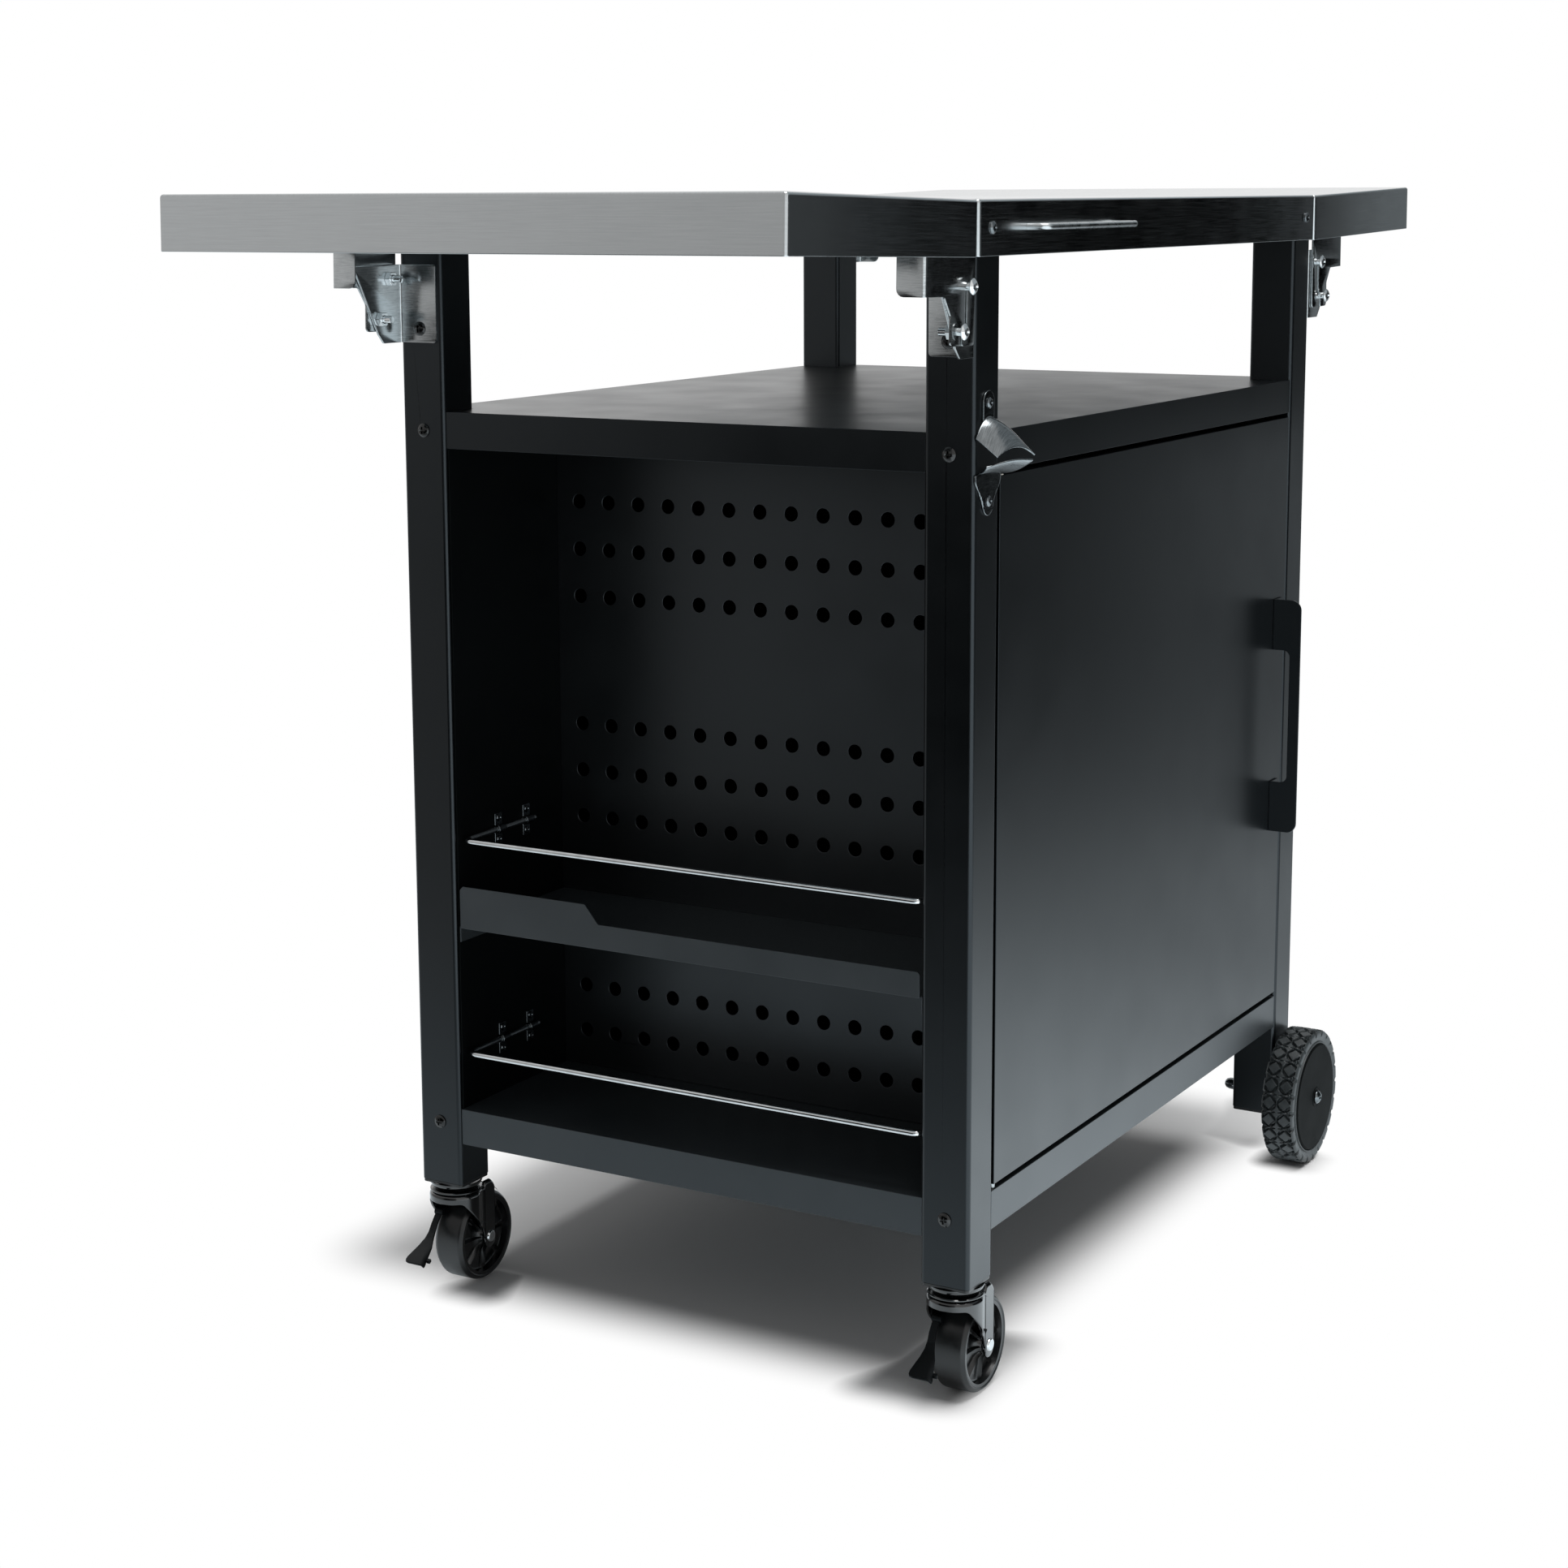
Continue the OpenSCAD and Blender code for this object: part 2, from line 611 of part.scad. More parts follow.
// casters, drawn about the swivel axis with the wheel trailing towards +X
trail = 23;
cw = 27;
fork_in = cw / 2 + 1.2;
fork_t = 2.2;
fork_top = caster_top - 8;
pedal_x = -9;
pedal_z = caster_top - 31;
module caster_at(s) translate([-lx, s * ly, 0]) children();
module caster_head() {
  color("#17191a") {
    translate([0, 0, caster_top - 4.5]) cylinder(r = 21.5, h = 2);
    translate([0, 0, fork_top + 0.3]) cylinder(r = 17.5, h = caster_top - fork_top - 4.7);
    translate([0, 0, fork_top - 6]) cylinder(r = 4, h = 8);
    translate([0, 0, caster_top - 2.6]) cylinder(r = stem_r, h = 26);
    translate([0, 0, fork_top - 5.8]) cylinder(r = 7.5, h = 2.2);
  }
}
module fork_side2d() {
  difference() {
    union() {
      polygon([[-19, fork_top - 2], [-20, fork_top - 13], [-15, fork_top - 25],
        [-6, fork_top - 33], [trail - 9, caster_r + 1], [trail - 7, caster_r - 4],
        [trail + 7, caster_r - 4], [trail + 8, caster_r + 4], [18, fork_top - 2]]);
      translate([trail, caster_r]) circle(r = 8.5);
    }
    translate([trail, caster_r]) circle(r = 3.05);
    translate([pedal_x, pedal_z]) circle(r = 1.56, $fn = 32);
  }
}
module caster_fork() {
  color("#141617") {
    difference() {
      union() {
        translate([0, 0, fork_top - 3]) cylinder(r = 21.5, h = 3);
        intersection() {
          translate([-22, -fork_in - fork_t, fork_top - 3]) cube([41, 2 * (fork_in + fork_t), 3]);
          translate([0, 0, fork_top - 3]) cylinder(r = 26, h = 3);
        }
      }
      translate([0, 0, fork_top - 9]) cylinder(r = 4.05, h = 12);
    }
    intersection() {
      translate([0, 0, fork_top - 11]) ring(19.4, 21.5, 9);
      translate([-30, -30, fork_top - 12]) cube([34, 60, 12]);
    }
    for (s = [0, 1]) mirror([0, s, 0]) xz(-fork_in - fork_t, -fork_in) fork_side2d();
  }
}
module caster_tyre() {
  color("#1b1d1e") translate([trail, cw / 2, caster_r]) rotate([90, 0, 0])
    rotate_extrude($fn = 64) polygon([[caster_r - 9, 0.5], [caster_r - 3, 0], [caster_r - 1, 1],
      [caster_r, 4], [caster_r, cw - 4], [caster_r - 1, cw - 1], [caster_r - 3, cw],
      [caster_r - 9, cw - 0.5]]);
}
module caster_wheel() {
  color("#0f1011") translate([trail, cw / 2, caster_r]) rotate([90, 0, 0])
    rotate_extrude($fn = 64) polygon([[3.6, -0.7], [8, -0.7], [8, 3], [caster_r - 14, 5],
      [caster_r - 12, 1], [caster_r - 9, 1], [caster_r - 9, cw - 1], [caster_r - 12, cw - 1],
      [caster_r - 14, cw - 5], [8, cw - 3], [8, cw + 0.7], [3.6, cw + 0.7]]);
}
module caster_axle() {
  y = fork_in + fork_t;
  color("#c3c6c7") {
    translate([trail, 0, caster_r]) {
      translate([0, y, 0]) rotate([90, 0, 0]) cylinder(r = 3, h = 2 * y);
      translate([0, fork_in, 0]) rotate([90, 0, 0]) ring(2.9, 3.55, 2 * fork_in);
      translate([0, -y, 0]) rotate([90, 0, 0]) cylinder(r1 = 5.4, r2 = 4.4, h = 2.2);
      translate([0, y + 2.6, 0]) rotate([90, 0, 0]) cylinder(r = 5.6, h = 2.6, $fn = 6);
    }
  }
}
// brake pedal: cheeks outside the fork on a pin, a tread plate leaning out past the tyre
module pedal_side2d() {
  polygon([[-4.8, 1], [4.8, 1], [4.5, -9], [-2, -19], [-16, -22.6], [-22, -23.6],
    [-22.4, -21.2], [-13.6, -17.4], [-6, -9]]);
  circle(r = 4.9);
}
module tread2d(w) {
  square([22, 2 * w]);
  translate([-9, 13]) square([31, 2 * w - 13]);
  translate([-21, 3.5]) square([31, 2 * w - 16.5]);
  translate([-17.5, 0]) square([40, 10]);
  translate([-17.5, 3.5]) circle(r = 3.5);
  translate([-9, 2 * w - 12]) circle(r = 12);
}
module caster_pedal() {
  w = fork_in + fork_t + 1.95;
  translate([pedal_x, 0, pedal_z]) color("#17191a") {
    for (s = [0, 1]) mirror([0, s, 0]) xz(-w, -w + 1.6) pedal_side2d();
    intersection() {
      translate([-31, -w, -30]) linear_extrude(height = 30) tread2d(w);
      xz(-w, w) polygon([[-14, -17.6], [-22, -21], [-46, -24], [-52, -26.4], [-52, -28],
        [-46, -25.6], [-22, -22.7], [-14, -19.3]]);
    }
    ycyl(0, -w, w, 0, 1.5);
  }
}
module caster_head_f() caster_at(-1) caster_head();
module caster_fork_f() caster_at(-1) caster_fork();
module caster_wheel_f() caster_at(-1) caster_wheel();
module caster_tyre_f() caster_at(-1) caster_tyre();
module caster_axle_f() caster_at(-1) caster_axle();
module caster_pedal_f() caster_at(-1) caster_pedal();
module caster_head_b() caster_at(1) caster_head();
module caster_fork_b() caster_at(1) caster_fork();
module caster_wheel_b() caster_at(1) caster_wheel();
module caster_tyre_b() caster_at(1) caster_tyre();
module caster_axle_b() caster_at(1) caster_axle();
module caster_pedal_b() caster_at(1) caster_pedal();

// large wheels outside the right legs, drawn with the axis along -Y from the leg face
rim_r = wheel_r - 12.7;
wheel_0 = 3.2;
wheel_1 = wheel_0 + wheel_w;
head_0 = wheel_1 + 1.3;
nut_h = 6;
module wheel_at(s) {
  translate([lx, s * hy, wheel_r]) rotate([s > 0 ? -90 : 90, 0, 0]) children();
}
module wheel_tyre() {
  color("#2a2c2d") rotate_extrude($fn = 72)
    polygon([[rim_r, wheel_0 + 1.3], [wheel_r - 8, wheel_0], [wheel_r - 3, wheel_0 + 1],
      [wheel_r, wheel_0 + 5.3], [wheel_r, wheel_1 - 5.3], [wheel_r - 3, wheel_1 - 1],
      [wheel_r - 8, wheel_1], [rim_r, wheel_1 - 1.3]]);
}
module wheel_hub() {
  color("#1b1d1e") rotate_extrude($fn = 72)
    polygon([[bolt_r + 0.05, 0.5], [9, 0.5], [9, wheel_1 - 6], [rim_r - 5, wheel_1 - 6],
      [rim_r - 5, wheel_0 + 2], [rim_r, wheel_0 + 2], [rim_r, wheel_1 - 0.7],
      [rim_r - 1.5, wheel_1 + 0.8], [9, wheel_1 + 0.8], [9, head_0 - 0.1],
      [bolt_r + 0.05, head_0 - 0.1]]);
}
module wheel_bolt() {
  color("#b9bcbd") rotate_extrude($fn = 48)
    polygon([[0, -leg_t - nut_h - 4], [bolt_r, -leg_t - nut_h - 4], [bolt_r, head_0],
      [bolt_r + 3.3, head_0], [bolt_r + 3.3, head_0 + 1.8], [bolt_r + 2.4, head_0 + 3.6],
      [bolt_r, head_0 + 4.7], [0, head_0 + 5]]);
}
module wheel_tyre_f() wheel_at(-1) wheel_tyre();
module wheel_hub_f() wheel_at(-1) wheel_hub();
module wheel_bolt_f() wheel_at(-1) wheel_bolt();
module wheel_tyre_b() wheel_at(1) wheel_tyre();
module wheel_hub_b() wheel_at(1) wheel_hub();
module wheel_bolt_b() wheel_at(1) wheel_bolt();

leg_front_left();
leg_back_left();
leg_front_right();
leg_back_right();
leg_caps();
upper_deck();
bottom_deck();
back_panel();
right_panel();
partition();
niche_wall_front();
niche_wall_back();
mid_shelf();
retaining_rods();
rod_clips();
main_top();
wire_rail();
bottle_opener();
leg_bracket_fl();
leg_bracket_bl();
leg_bracket_fr();
leg_bracket_br();
pivot_bolts();
stop_pins();
bright_nuts();
black_screws();
bright_screws();
door_pins();
catch_magnet();
door_panel();
door_liner();
door_handle();
door_screws();
door_bushes();
leaf_left_top();
leaf_left_plates();
leaf_left_studs();
leaf_right_top();
leaf_right_plates();
leaf_right_studs();
caster_head_f();
caster_fork_f();
caster_wheel_f();
caster_tyre_f();
caster_axle_f();
caster_pedal_f();
caster_head_b();
caster_fork_b();
caster_wheel_b();
caster_tyre_b();
caster_axle_b();
caster_pedal_b();
wheel_tyre_f();
wheel_hub_f();
wheel_bolt_f();
wheel_tyre_b();
wheel_hub_b();
wheel_bolt_b();
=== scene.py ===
import json
import bmesh
import bpy
import numpy as np
from mathutils import Matrix, Vector


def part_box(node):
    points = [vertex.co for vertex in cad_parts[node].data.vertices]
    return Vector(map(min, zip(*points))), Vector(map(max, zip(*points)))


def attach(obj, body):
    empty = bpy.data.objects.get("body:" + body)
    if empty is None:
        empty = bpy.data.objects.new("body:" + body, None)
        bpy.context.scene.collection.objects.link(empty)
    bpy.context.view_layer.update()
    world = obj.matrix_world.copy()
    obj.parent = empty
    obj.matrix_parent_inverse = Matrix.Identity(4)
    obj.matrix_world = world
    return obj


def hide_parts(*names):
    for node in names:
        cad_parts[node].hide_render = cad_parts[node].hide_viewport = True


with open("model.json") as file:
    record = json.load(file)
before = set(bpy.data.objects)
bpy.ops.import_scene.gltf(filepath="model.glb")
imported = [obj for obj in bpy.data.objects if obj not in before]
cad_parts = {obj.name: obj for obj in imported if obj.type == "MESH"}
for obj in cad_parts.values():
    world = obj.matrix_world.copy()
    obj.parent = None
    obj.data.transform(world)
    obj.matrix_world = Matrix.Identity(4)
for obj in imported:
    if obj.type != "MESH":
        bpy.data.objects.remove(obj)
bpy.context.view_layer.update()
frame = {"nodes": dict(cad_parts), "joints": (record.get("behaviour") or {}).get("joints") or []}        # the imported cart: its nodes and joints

mm = 0.001               # shapes below are worked out in millimetres
nodes = frame["nodes"]
hingeAt = {joint["name"]: np.array(joint["pos_m"]) / mm for joint in frame["joints"]}
pivot = hingeAt["leaf_right_fold"] * (1, 0, 1)      # axis of the right leaf, X and Z


def cornersOf(name):
    # lowest and highest corner of a CAD node, in millimetres
    low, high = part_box(name)
    return np.array(low) / mm, np.array(high) / mm


topLow, topHigh = cornersOf("main_top")
legLow, legHigh = cornersOf("leg_front_right")

cart = {
    "halfX": legHigh[0],             # outer faces of the legs
    "halfY": -legLow[1],
    "leg": legHigh[0] - legLow[0],
    "sheet": 1.2,                    # folded steel sheet
    "topX": topHigh[0],              # worktop outside
    "topY": topHigh[1],
    "topZ": topHigh[2],
    "apronZ": topLow[2],             # lower edge of the worktop aprons
}
everyCorner = [(sideX, sideY) for sideX in (-1, 1) for sideY in (-1, 1)]
frontAndBack = [(-1, "f"), (1, "b")]


# Colours and node helpers

def linear(hexColour):
    # sRGB hex to linear light
    value = np.array([int(hexColour[i:i + 2], 16) for i in (1, 3, 5)]) / 255
    value = np.where(value <= 0.04045, value / 12.92, ((value + 0.055) / 1.055) ** 2.4)
    return (*(float(v) for v in value), 1.0)


def newTree(owner):
    # the emptied node tree of a material or a world
    owner.use_nodes = True
    owner.node_tree.nodes.clear()
    return owner.node_tree


def addNode(tree, kind, inputs=None, links=None, stops=(), **settings):
    # one node with its settings, its input values, its incoming links and a ramp's (position, colour) stops
    node = tree.nodes.new("ShaderNode" + kind)
    for key, value in settings.items():
        setattr(node, key, value)
    for key, value in (inputs or {}).items():
        node.inputs[key].default_value = value
    for key, (source, output) in (links or {}).items():
        tree.links.new(source.outputs[output], node.inputs[key])
    for k, (place, colour) in enumerate(stops):
        ramp = node.color_ramp.elements
        element = ramp[k] if k < len(ramp) else ramp.new(place)
        element.position = place
        element.color = colour
    return node


# Materials. Pattern sizes are real ones in millimetres unless a comment says otherwise.

# how strongly the clouds are drawn: their detail, the grain's roughness, and how far to each side of the
# pattern's middle the colour and the gloss run
paintPattern = {"detail": 3.0, "grit": 0.6, "spans": (0.18, 0.2)}
platePattern = {"detail": 4.0, "grit": 0.5, "spans": (0.15, 0.15)}
brushPattern = {"detail": 5.0, "grit": 0.7, "spans": (0.14, 0.15), "cloudShare": 0.28}


def addSurface(tree, pattern, spans, values, bump, inputs, links=None):
    # colour and gloss both follow one pattern: low places are darker and sharper, high ones paler and duller
    colourSpan, glossSpan = spans
    low, high = (linear(colour) for colour in values["colours"])
    dull, sharp = values["roughness"]
    colour = addNode(tree, "ValToRGB", links={"Fac": pattern},
                     stops=[(0.5 - colourSpan, low), (0.5 + colourSpan, high)])
    gloss = addNode(tree, "MapRange", {"From Min": 0.5 - glossSpan, "From Max": 0.5 + glossSpan,
                                       "To Min": sharp, "To Max": dull}, {"Value": pattern})
    shader = addNode(tree, "BsdfPrincipled", inputs,
                     {"Base Color": (colour, "Color"), "Roughness": (gloss, "Result"),
                      "Normal": (bump, "Normal"), **(links or {})})
    addNode(tree, "OutputMaterial", links={"Surface": (shader, 0)})


def smoothFinish(name, values):
    # paint, moulding and rubber, or plating where no ior is given: slow clouds move the colour and the
    # gloss, a fine grain stands in the bump
    metal = "ior" not in values
    pattern = platePattern if metal else paintPattern
    material = bpy.data.materials.new(name)
    tree = newTree(material)
    place = {"Vector": (addNode(tree, "TexCoord"), "Object")}
    clouds = addNode(tree, "TexNoise", {"Scale": 1 / (values["cloud"] * mm), "Detail": pattern["detail"]},
                     place)
    grain = addNode(tree, "TexNoise", {"Scale": 1 / (values["grain"] * mm), "Detail": 2.0,
                                       "Roughness": pattern["grit"]}, place)
    bump = addNode(tree, "Bump", {"Strength": 1.0, "Distance": values["relief"] * mm},
                   {"Height": (grain, "Fac")})
    inputs = {"Metallic": 1.0}
    if not metal:
        inputs = {"IOR": values["ior"], "Coat Weight": values.get("coat", 0.0), "Coat Roughness": 0.08,
                  "Specular Tint": linear(values.get("tint", "#ffffff"))}
    addSurface(tree, (clouds, "Fac"), pattern["spans"], values, bump, inputs)
    return material


def brushedSteel(name, values):
    # satin stainless sheet: long fine streaks along the sheet's own u, with slow clouds across them
    material = bpy.data.materials.new(name)
    tree = newTree(material)
    place = {"Vector": (addNode(tree, "TexCoord"), "Object")}
    grainMap = addNode(tree, "UVMap", uv_map="grain")
    scale = (1 / (values["streak"] * mm), 1 / (values["line"] * mm), 1.0)
    stretch = addNode(tree, "Mapping", {"Scale": scale}, {"Vector": (grainMap, "UV")})
    streaks = addNode(tree, "TexNoise", {"Scale": 1.0, "Detail": 3.0, "Roughness": brushPattern["grit"]},
                      {"Vector": (stretch, "Vector")}, noise_dimensions="2D")
    clouds = addNode(tree, "TexNoise", {"Scale": 1 / (values["cloud"] * mm),
                                        "Detail": brushPattern["detail"]}, place)
    waves = addNode(tree, "TexNoise", {"Scale": 1 / (values["wave"] * mm), "Detail": 1.0}, place)
    blend = addNode(tree, "Mix", {"Factor": brushPattern["cloudShare"]},
                    {"A": (streaks, "Fac"), "B": (clouds, "Fac")})
    sway = addNode(tree, "Bump", {"Strength": 1.0, "Distance": values["swell"] * mm},
                   {"Height": (waves, "Fac")})
    bump = addNode(tree, "Bump", {"Strength": 1.0, "Distance": values["relief"] * mm},
                   {"Height": (streaks, "Fac"), "Normal": (sway, "Normal")})
    tangent = addNode(tree, "Tangent", direction_type="UV_MAP", uv_map="grain")
    inputs = {"Metallic": 1.0, "Anisotropic": values["anisotropy"]}
    addSurface(tree, (blend, "Result"), brushPattern["spans"], values, bump, inputs,
               {"Tangent": (tangent, "Tangent")})
    return material


# tint: a cool cast painted into the coats' reflections, as painted light
powder = {"cloud": 60, "grain": 1.8, "relief": 0.012, "ior": 1.45, "tint": "#eef8ff"}

materials = {
    # fine-textured powder coat on steel: matt, soft highlights, grain drawn at 1.8 mm so that it shows
    "powderCoat": smoothFinish("powder_coat_black", {
        **powder, "colours": ("#05080a", "#080b0d"), "roughness": (0.33, 0.28)}),
    # the black coat painted darker and given less gloss: painted shade inside the rack and on the pedals
    "innerCoatPaintedShade": smoothFinish("powder_coat_painted_shade", {
        **powder, "colours": ("#010202", "#030404"), "roughness": (0.55, 0.48), "ior": 1.25}),
    # the shelf and the bottom deck: the black coat painted a little lighter, as painted light for the light
    # their lips catch
    "shelfCoatPaintedLight": smoothFinish("powder_coat_shelf_painted_light", {
        **powder, "colours": ("#363b3e", "#3c4144"), "roughness": (0.36, 0.31)}),
    # the pegboard faces the light and shows a little more gloss
    "pegCoat": smoothFinish("powder_coat_pegboard", {
        **powder, "colours": ("#030506", "#06090a"), "roughness": (0.42, 0.37), "ior": 1.75}),
    # black zinc on the screws' heads: thinner and glossier than the coat
    "blackZinc": smoothFinish("black_zinc_screws", {
        "colours": ("#020303", "#050606"), "roughness": (0.2, 0.12), "cloud": 4, "grain": 0.7,
        "relief": 0.004, "ior": 1.5}),
    # wet-looking stoved enamel on the pressed caster parts
    "enamel": smoothFinish("stoved_enamel_black", {
        "colours": ("#050607", "#090a0b"), "roughness": (0.16, 0.1), "cloud": 12, "grain": 3.0,
        "relief": 0.006, "ior": 1.55, "coat": 0.5}),
    # injection-moulded polypropylene: satin, faint spark-eroded texture
    "plastic": smoothFinish("moulded_polypropylene", {
        "colours": ("#0b0c0d", "#111314"), "roughness": (0.36, 0.28), "cloud": 18, "grain": 0.9,
        "relief": 0.01, "ior": 1.49}),
    # dull moulded disc of the large wheels' hubs
    "hubPlastic": smoothFinish("moulded_hub", {
        "colours": ("#020404", "#050707"), "roughness": (0.72, 0.66), "cloud": 20, "grain": 1.0,
        "relief": 0.006, "ior": 1.18}),
    # polished moulding of the caster wheels
    "glossPlastic": smoothFinish("polished_nylon_black", {
        "colours": ("#07080a", "#0d0f10"), "roughness": (0.26, 0.18), "cloud": 10, "grain": 1.6,
        "relief": 0.005, "ior": 1.53}),
    # filled rubber: dull with a dusty bloom
    "rubber": smoothFinish("tyre_rubber", {
        "colours": ("#282d2f", "#363c3e"), "roughness": (0.5, 0.4), "cloud": 9, "grain": 1.1,
        "relief": 0.02, "ior": 1.5}),
    # smooth polyurethane band of the casters
    "casterTyre": smoothFinish("caster_polyurethane", {
        "colours": ("#0a0c0d", "#121516"), "roughness": (0.42, 0.32), "cloud": 8, "grain": 1.4,
        "relief": 0.006, "ior": 1.5}),
    # natural nylon bushes: warm white and satin
    "nylon": smoothFinish("natural_nylon", {
        "colours": ("#d8d6ce", "#e4e2da"), "roughness": (0.4, 0.3), "cloud": 5, "grain": 0.8,
        "relief": 0.004, "ior": 1.53}),
    # bright nickel-chrome on rods, nuts and heads
    "chrome": smoothFinish("bright_chrome", {
        "colours": ("#c4c7c8", "#d3d5d6"), "roughness": (0.16, 0.08), "cloud": 7, "grain": 1.5,
        "relief": 0.0015}),
    # chrome painted darker as painted shade on the small screws, the rods' saddles and the wheel bolts, for
    # the dark surroundings they mirror
    "chromePaintedShade": smoothFinish("chrome_painted_shade", {
        "colours": ("#5c6062", "#707476"), "roughness": (0.18, 0.1), "cloud": 5, "grain": 1.2,
        "relief": 0.002}),
    # satin wire of the rail: soft long highlights
    "satinRod": smoothFinish("satin_wire", {
        "colours": ("#a5a9aa", "#babdbe"), "roughness": (0.34, 0.24), "cloud": 9, "grain": 0.9,
        "relief": 0.003}),
    # dull zinc on the hinge pins
    "zinc": smoothFinish("zinc_plate", {
        "colours": ("#8f9394", "#a4a8a9"), "roughness": (0.36, 0.24), "cloud": 5, "grain": 0.8,
        "relief": 0.004}),
    # satin stainless; lines are drawn 0.9 mm apart, coarser than real brushing, so that they show
    "steel": brushedSteel("brushed_stainless", {
        "colours": ("#b2b5b6", "#babdbe"), "roughness": (0.24, 0.14), "streak": 45, "line": 0.9,
        "cloud": 30, "wave": 150, "relief": 0.0015, "swell": 0.13, "anisotropy": 0.25}),
    # the brackets' sheet is brighter in places and less even
    "bracketSteel": brushedSteel("bracket_stainless", {
        "colours": ("#a3a7a8", "#bdc0c1"), "roughness": (0.24, 0.15), "streak": 14, "line": 0.7,
        "cloud": 7, "wave": 22, "relief": 0.003, "swell": 0.1, "anisotropy": 0.3}),
    # the stainless painted darker on the pressed opener: painted shade for its dark reflections
    "openerSteelPaintedShade": brushedSteel("opener_stainless_painted_shade", {
        "colours": ("#65696b", "#808486"), "roughness": (0.24, 0.14), "streak": 10, "line": 0.7,
        "cloud": 6, "wave": 18, "relief": 0.003, "swell": 0.1, "anisotropy": 0.3}),
}


# Mesh helpers. A sheet is (points, faces, grain coordinates), in millimetres.

def gridFaces(rows, columns, looped, closed):
    # each point is joined to the next along both ways into a quad
    i = np.arange(rows if looped else rows - 1)[:, None]
    j = np.arange(columns if closed else columns - 1)[None, :]
    nextI, nextJ = (i + 1) % rows, (j + 1) % columns
    quads = [i * columns + j, i * columns + nextJ, nextI * columns + nextJ, nextI * columns + j]
    return np.stack(quads, -1).reshape(-1, 4)


def sheetOf(grid, closed=False, capped=False, looped=False, grain=None):
    # a grid of points as a sheet: closed joins each row's ends, looped joins the last row to the first, and
    # capped puts single faces over the first and last row; the grain runs with the lengths along the grid
    rows, columns = grid.shape[:2]
    faces = gridFaces(rows, columns, looped, closed).tolist()
    if capped:
        faces += [list(range(columns))[::-1], list(range((rows - 1) * columns, rows * columns))]
    if grain is None:
        across = np.linalg.norm(np.diff(grid, axis=0, prepend=grid[:1]), axis=2).cumsum(0)
        along = np.linalg.norm(np.diff(grid, axis=1, prepend=grid[:, :1]), axis=2).cumsum(1)
        grain = np.stack([along, across], -1)
    return grid.reshape(-1, 3), faces, np.asarray(grain).reshape(-1, 2)


def moved(part, offset=(0, 0, 0), turn=None, flip=(1, 1, 1)):
    # a copy of a sheet: mirrored by flip, turned by a 3 x 3 matrix, then shifted
    points, faces, grain = part
    points = points * np.array(flip, float)
    if np.prod(flip) < 0:
        faces = [list(face)[::-1] for face in faces]
    if turn is not None:
        points = points @ np.asarray(turn).T
    return points + np.array(offset, float), faces, grain


def facing(direction):
    # 3 x 3 turn that takes +Z to a direction
    return np.array(Vector(direction).to_track_quat("Z", "Y").to_matrix())


def addObject(name, data):
    thing = bpy.data.objects.new(name, data)
    bpy.context.scene.collection.objects.link(thing)
    return thing


def addBevel(piece, width, segments=2, angle=35):
    # rounds the edges that turn more than angle
    bevel = piece.modifiers.new("edges", "BEVEL")
    bevel.width = width * mm
    bevel.segments = segments
    bevel.limit_method = "ANGLE"
    bevel.angle_limit = np.radians(angle)
    bevel.use_clamp_overlap = False
    bevel.face_strength_mode = "FSTR_ALL"


def addWall(piece, thickness, offset=0.0, edge=0.4):
    # gives a pressed surface its sheet's thickness and rounds the cut edges
    wall = piece.modifiers.new("wall", "SOLIDIFY")
    wall.thickness = thickness * mm
    wall.offset = offset
    addBevel(piece, edge, angle=50)


def buildPiece(name, parts, body, material, replaces=(), sharp=32, bevel=0.0, weld=1e-4):
    # joins sheets into one mesh in metres, closes its seams and hangs it on its body
    points, grain = (np.concatenate([part[k] for part in parts]) for k in (0, 2))
    faces, start = [], 0
    for part in parts:
        faces += [[index + start for index in face] for face in part[1]]
        start += len(part[0])
    mesh = bpy.data.meshes.new(name)
    mesh.from_pydata((points * mm).tolist(), [], faces)
    layer = mesh.uv_layers.new(name="grain")
    corners = np.zeros(len(mesh.loops), np.int32)
    mesh.loops.foreach_get("vertex_index", corners)
    layer.data.foreach_set("uv", (grain[corners] * mm).ravel().astype(np.float32))
    work = bmesh.new()
    work.from_mesh(mesh)
    bmesh.ops.remove_doubles(work, verts=work.verts, dist=weld * mm)
    bmesh.ops.dissolve_degenerate(work, edges=work.edges, dist=weld * mm)
    bmesh.ops.recalc_face_normals(work, faces=work.faces)
    work.to_mesh(mesh)
    work.free()
    mesh.polygons.foreach_set("use_smooth", np.ones(len(mesh.polygons), bool))
    mesh.set_sharp_from_angle(angle=np.radians(sharp))
    mesh.update()
    mesh.materials.append(materials[material])
    piece = addObject(name, mesh)
    if bevel:
        addBevel(piece, bevel)
    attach(piece, body)
    if replaces:
        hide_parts(*replaces)
    return piece


def roundedPath(corners, radii, closed=True, steps=5, guard=0.0):
    # a polyline whose corners are arcs: each corner is trimmed by radius / tan(half its inner angle) on both
    # sides; guard adds a point that far beyond each end of the arcs
    corners = np.asarray(corners, float)
    radii = np.broadcast_to(np.asarray(radii, float), len(corners))
    path = []
    for k, (here, radius) in enumerate(zip(corners, radii)):
        if radius <= 0 or (not closed and k in (0, len(corners) - 1)):
            path.append(here[None])
            continue
        back = corners[k - 1] - here
        ahead = corners[(k + 1) % len(corners)] - here
        back /= np.linalg.norm(back)
        ahead /= np.linalg.norm(ahead)
        half = np.arccos(np.clip(back @ ahead, -1, 1)) / 2
        middle = (back + ahead) / np.linalg.norm(back + ahead)
        centre = here + middle * radius / np.sin(half)
        start = here + back * radius / np.tan(half)
        end = here + ahead * radius / np.tan(half)
        angle = np.linspace(0, np.pi - 2 * half, steps + 1)[:, None]
        arc = centre + np.cos(angle) * (start - centre) - np.sin(angle) * back * radius
        if guard:
            arc = np.concatenate([(start + back * guard)[None], arc, (end + ahead * guard)[None]])
        path.append(arc)
    return np.concatenate(path)


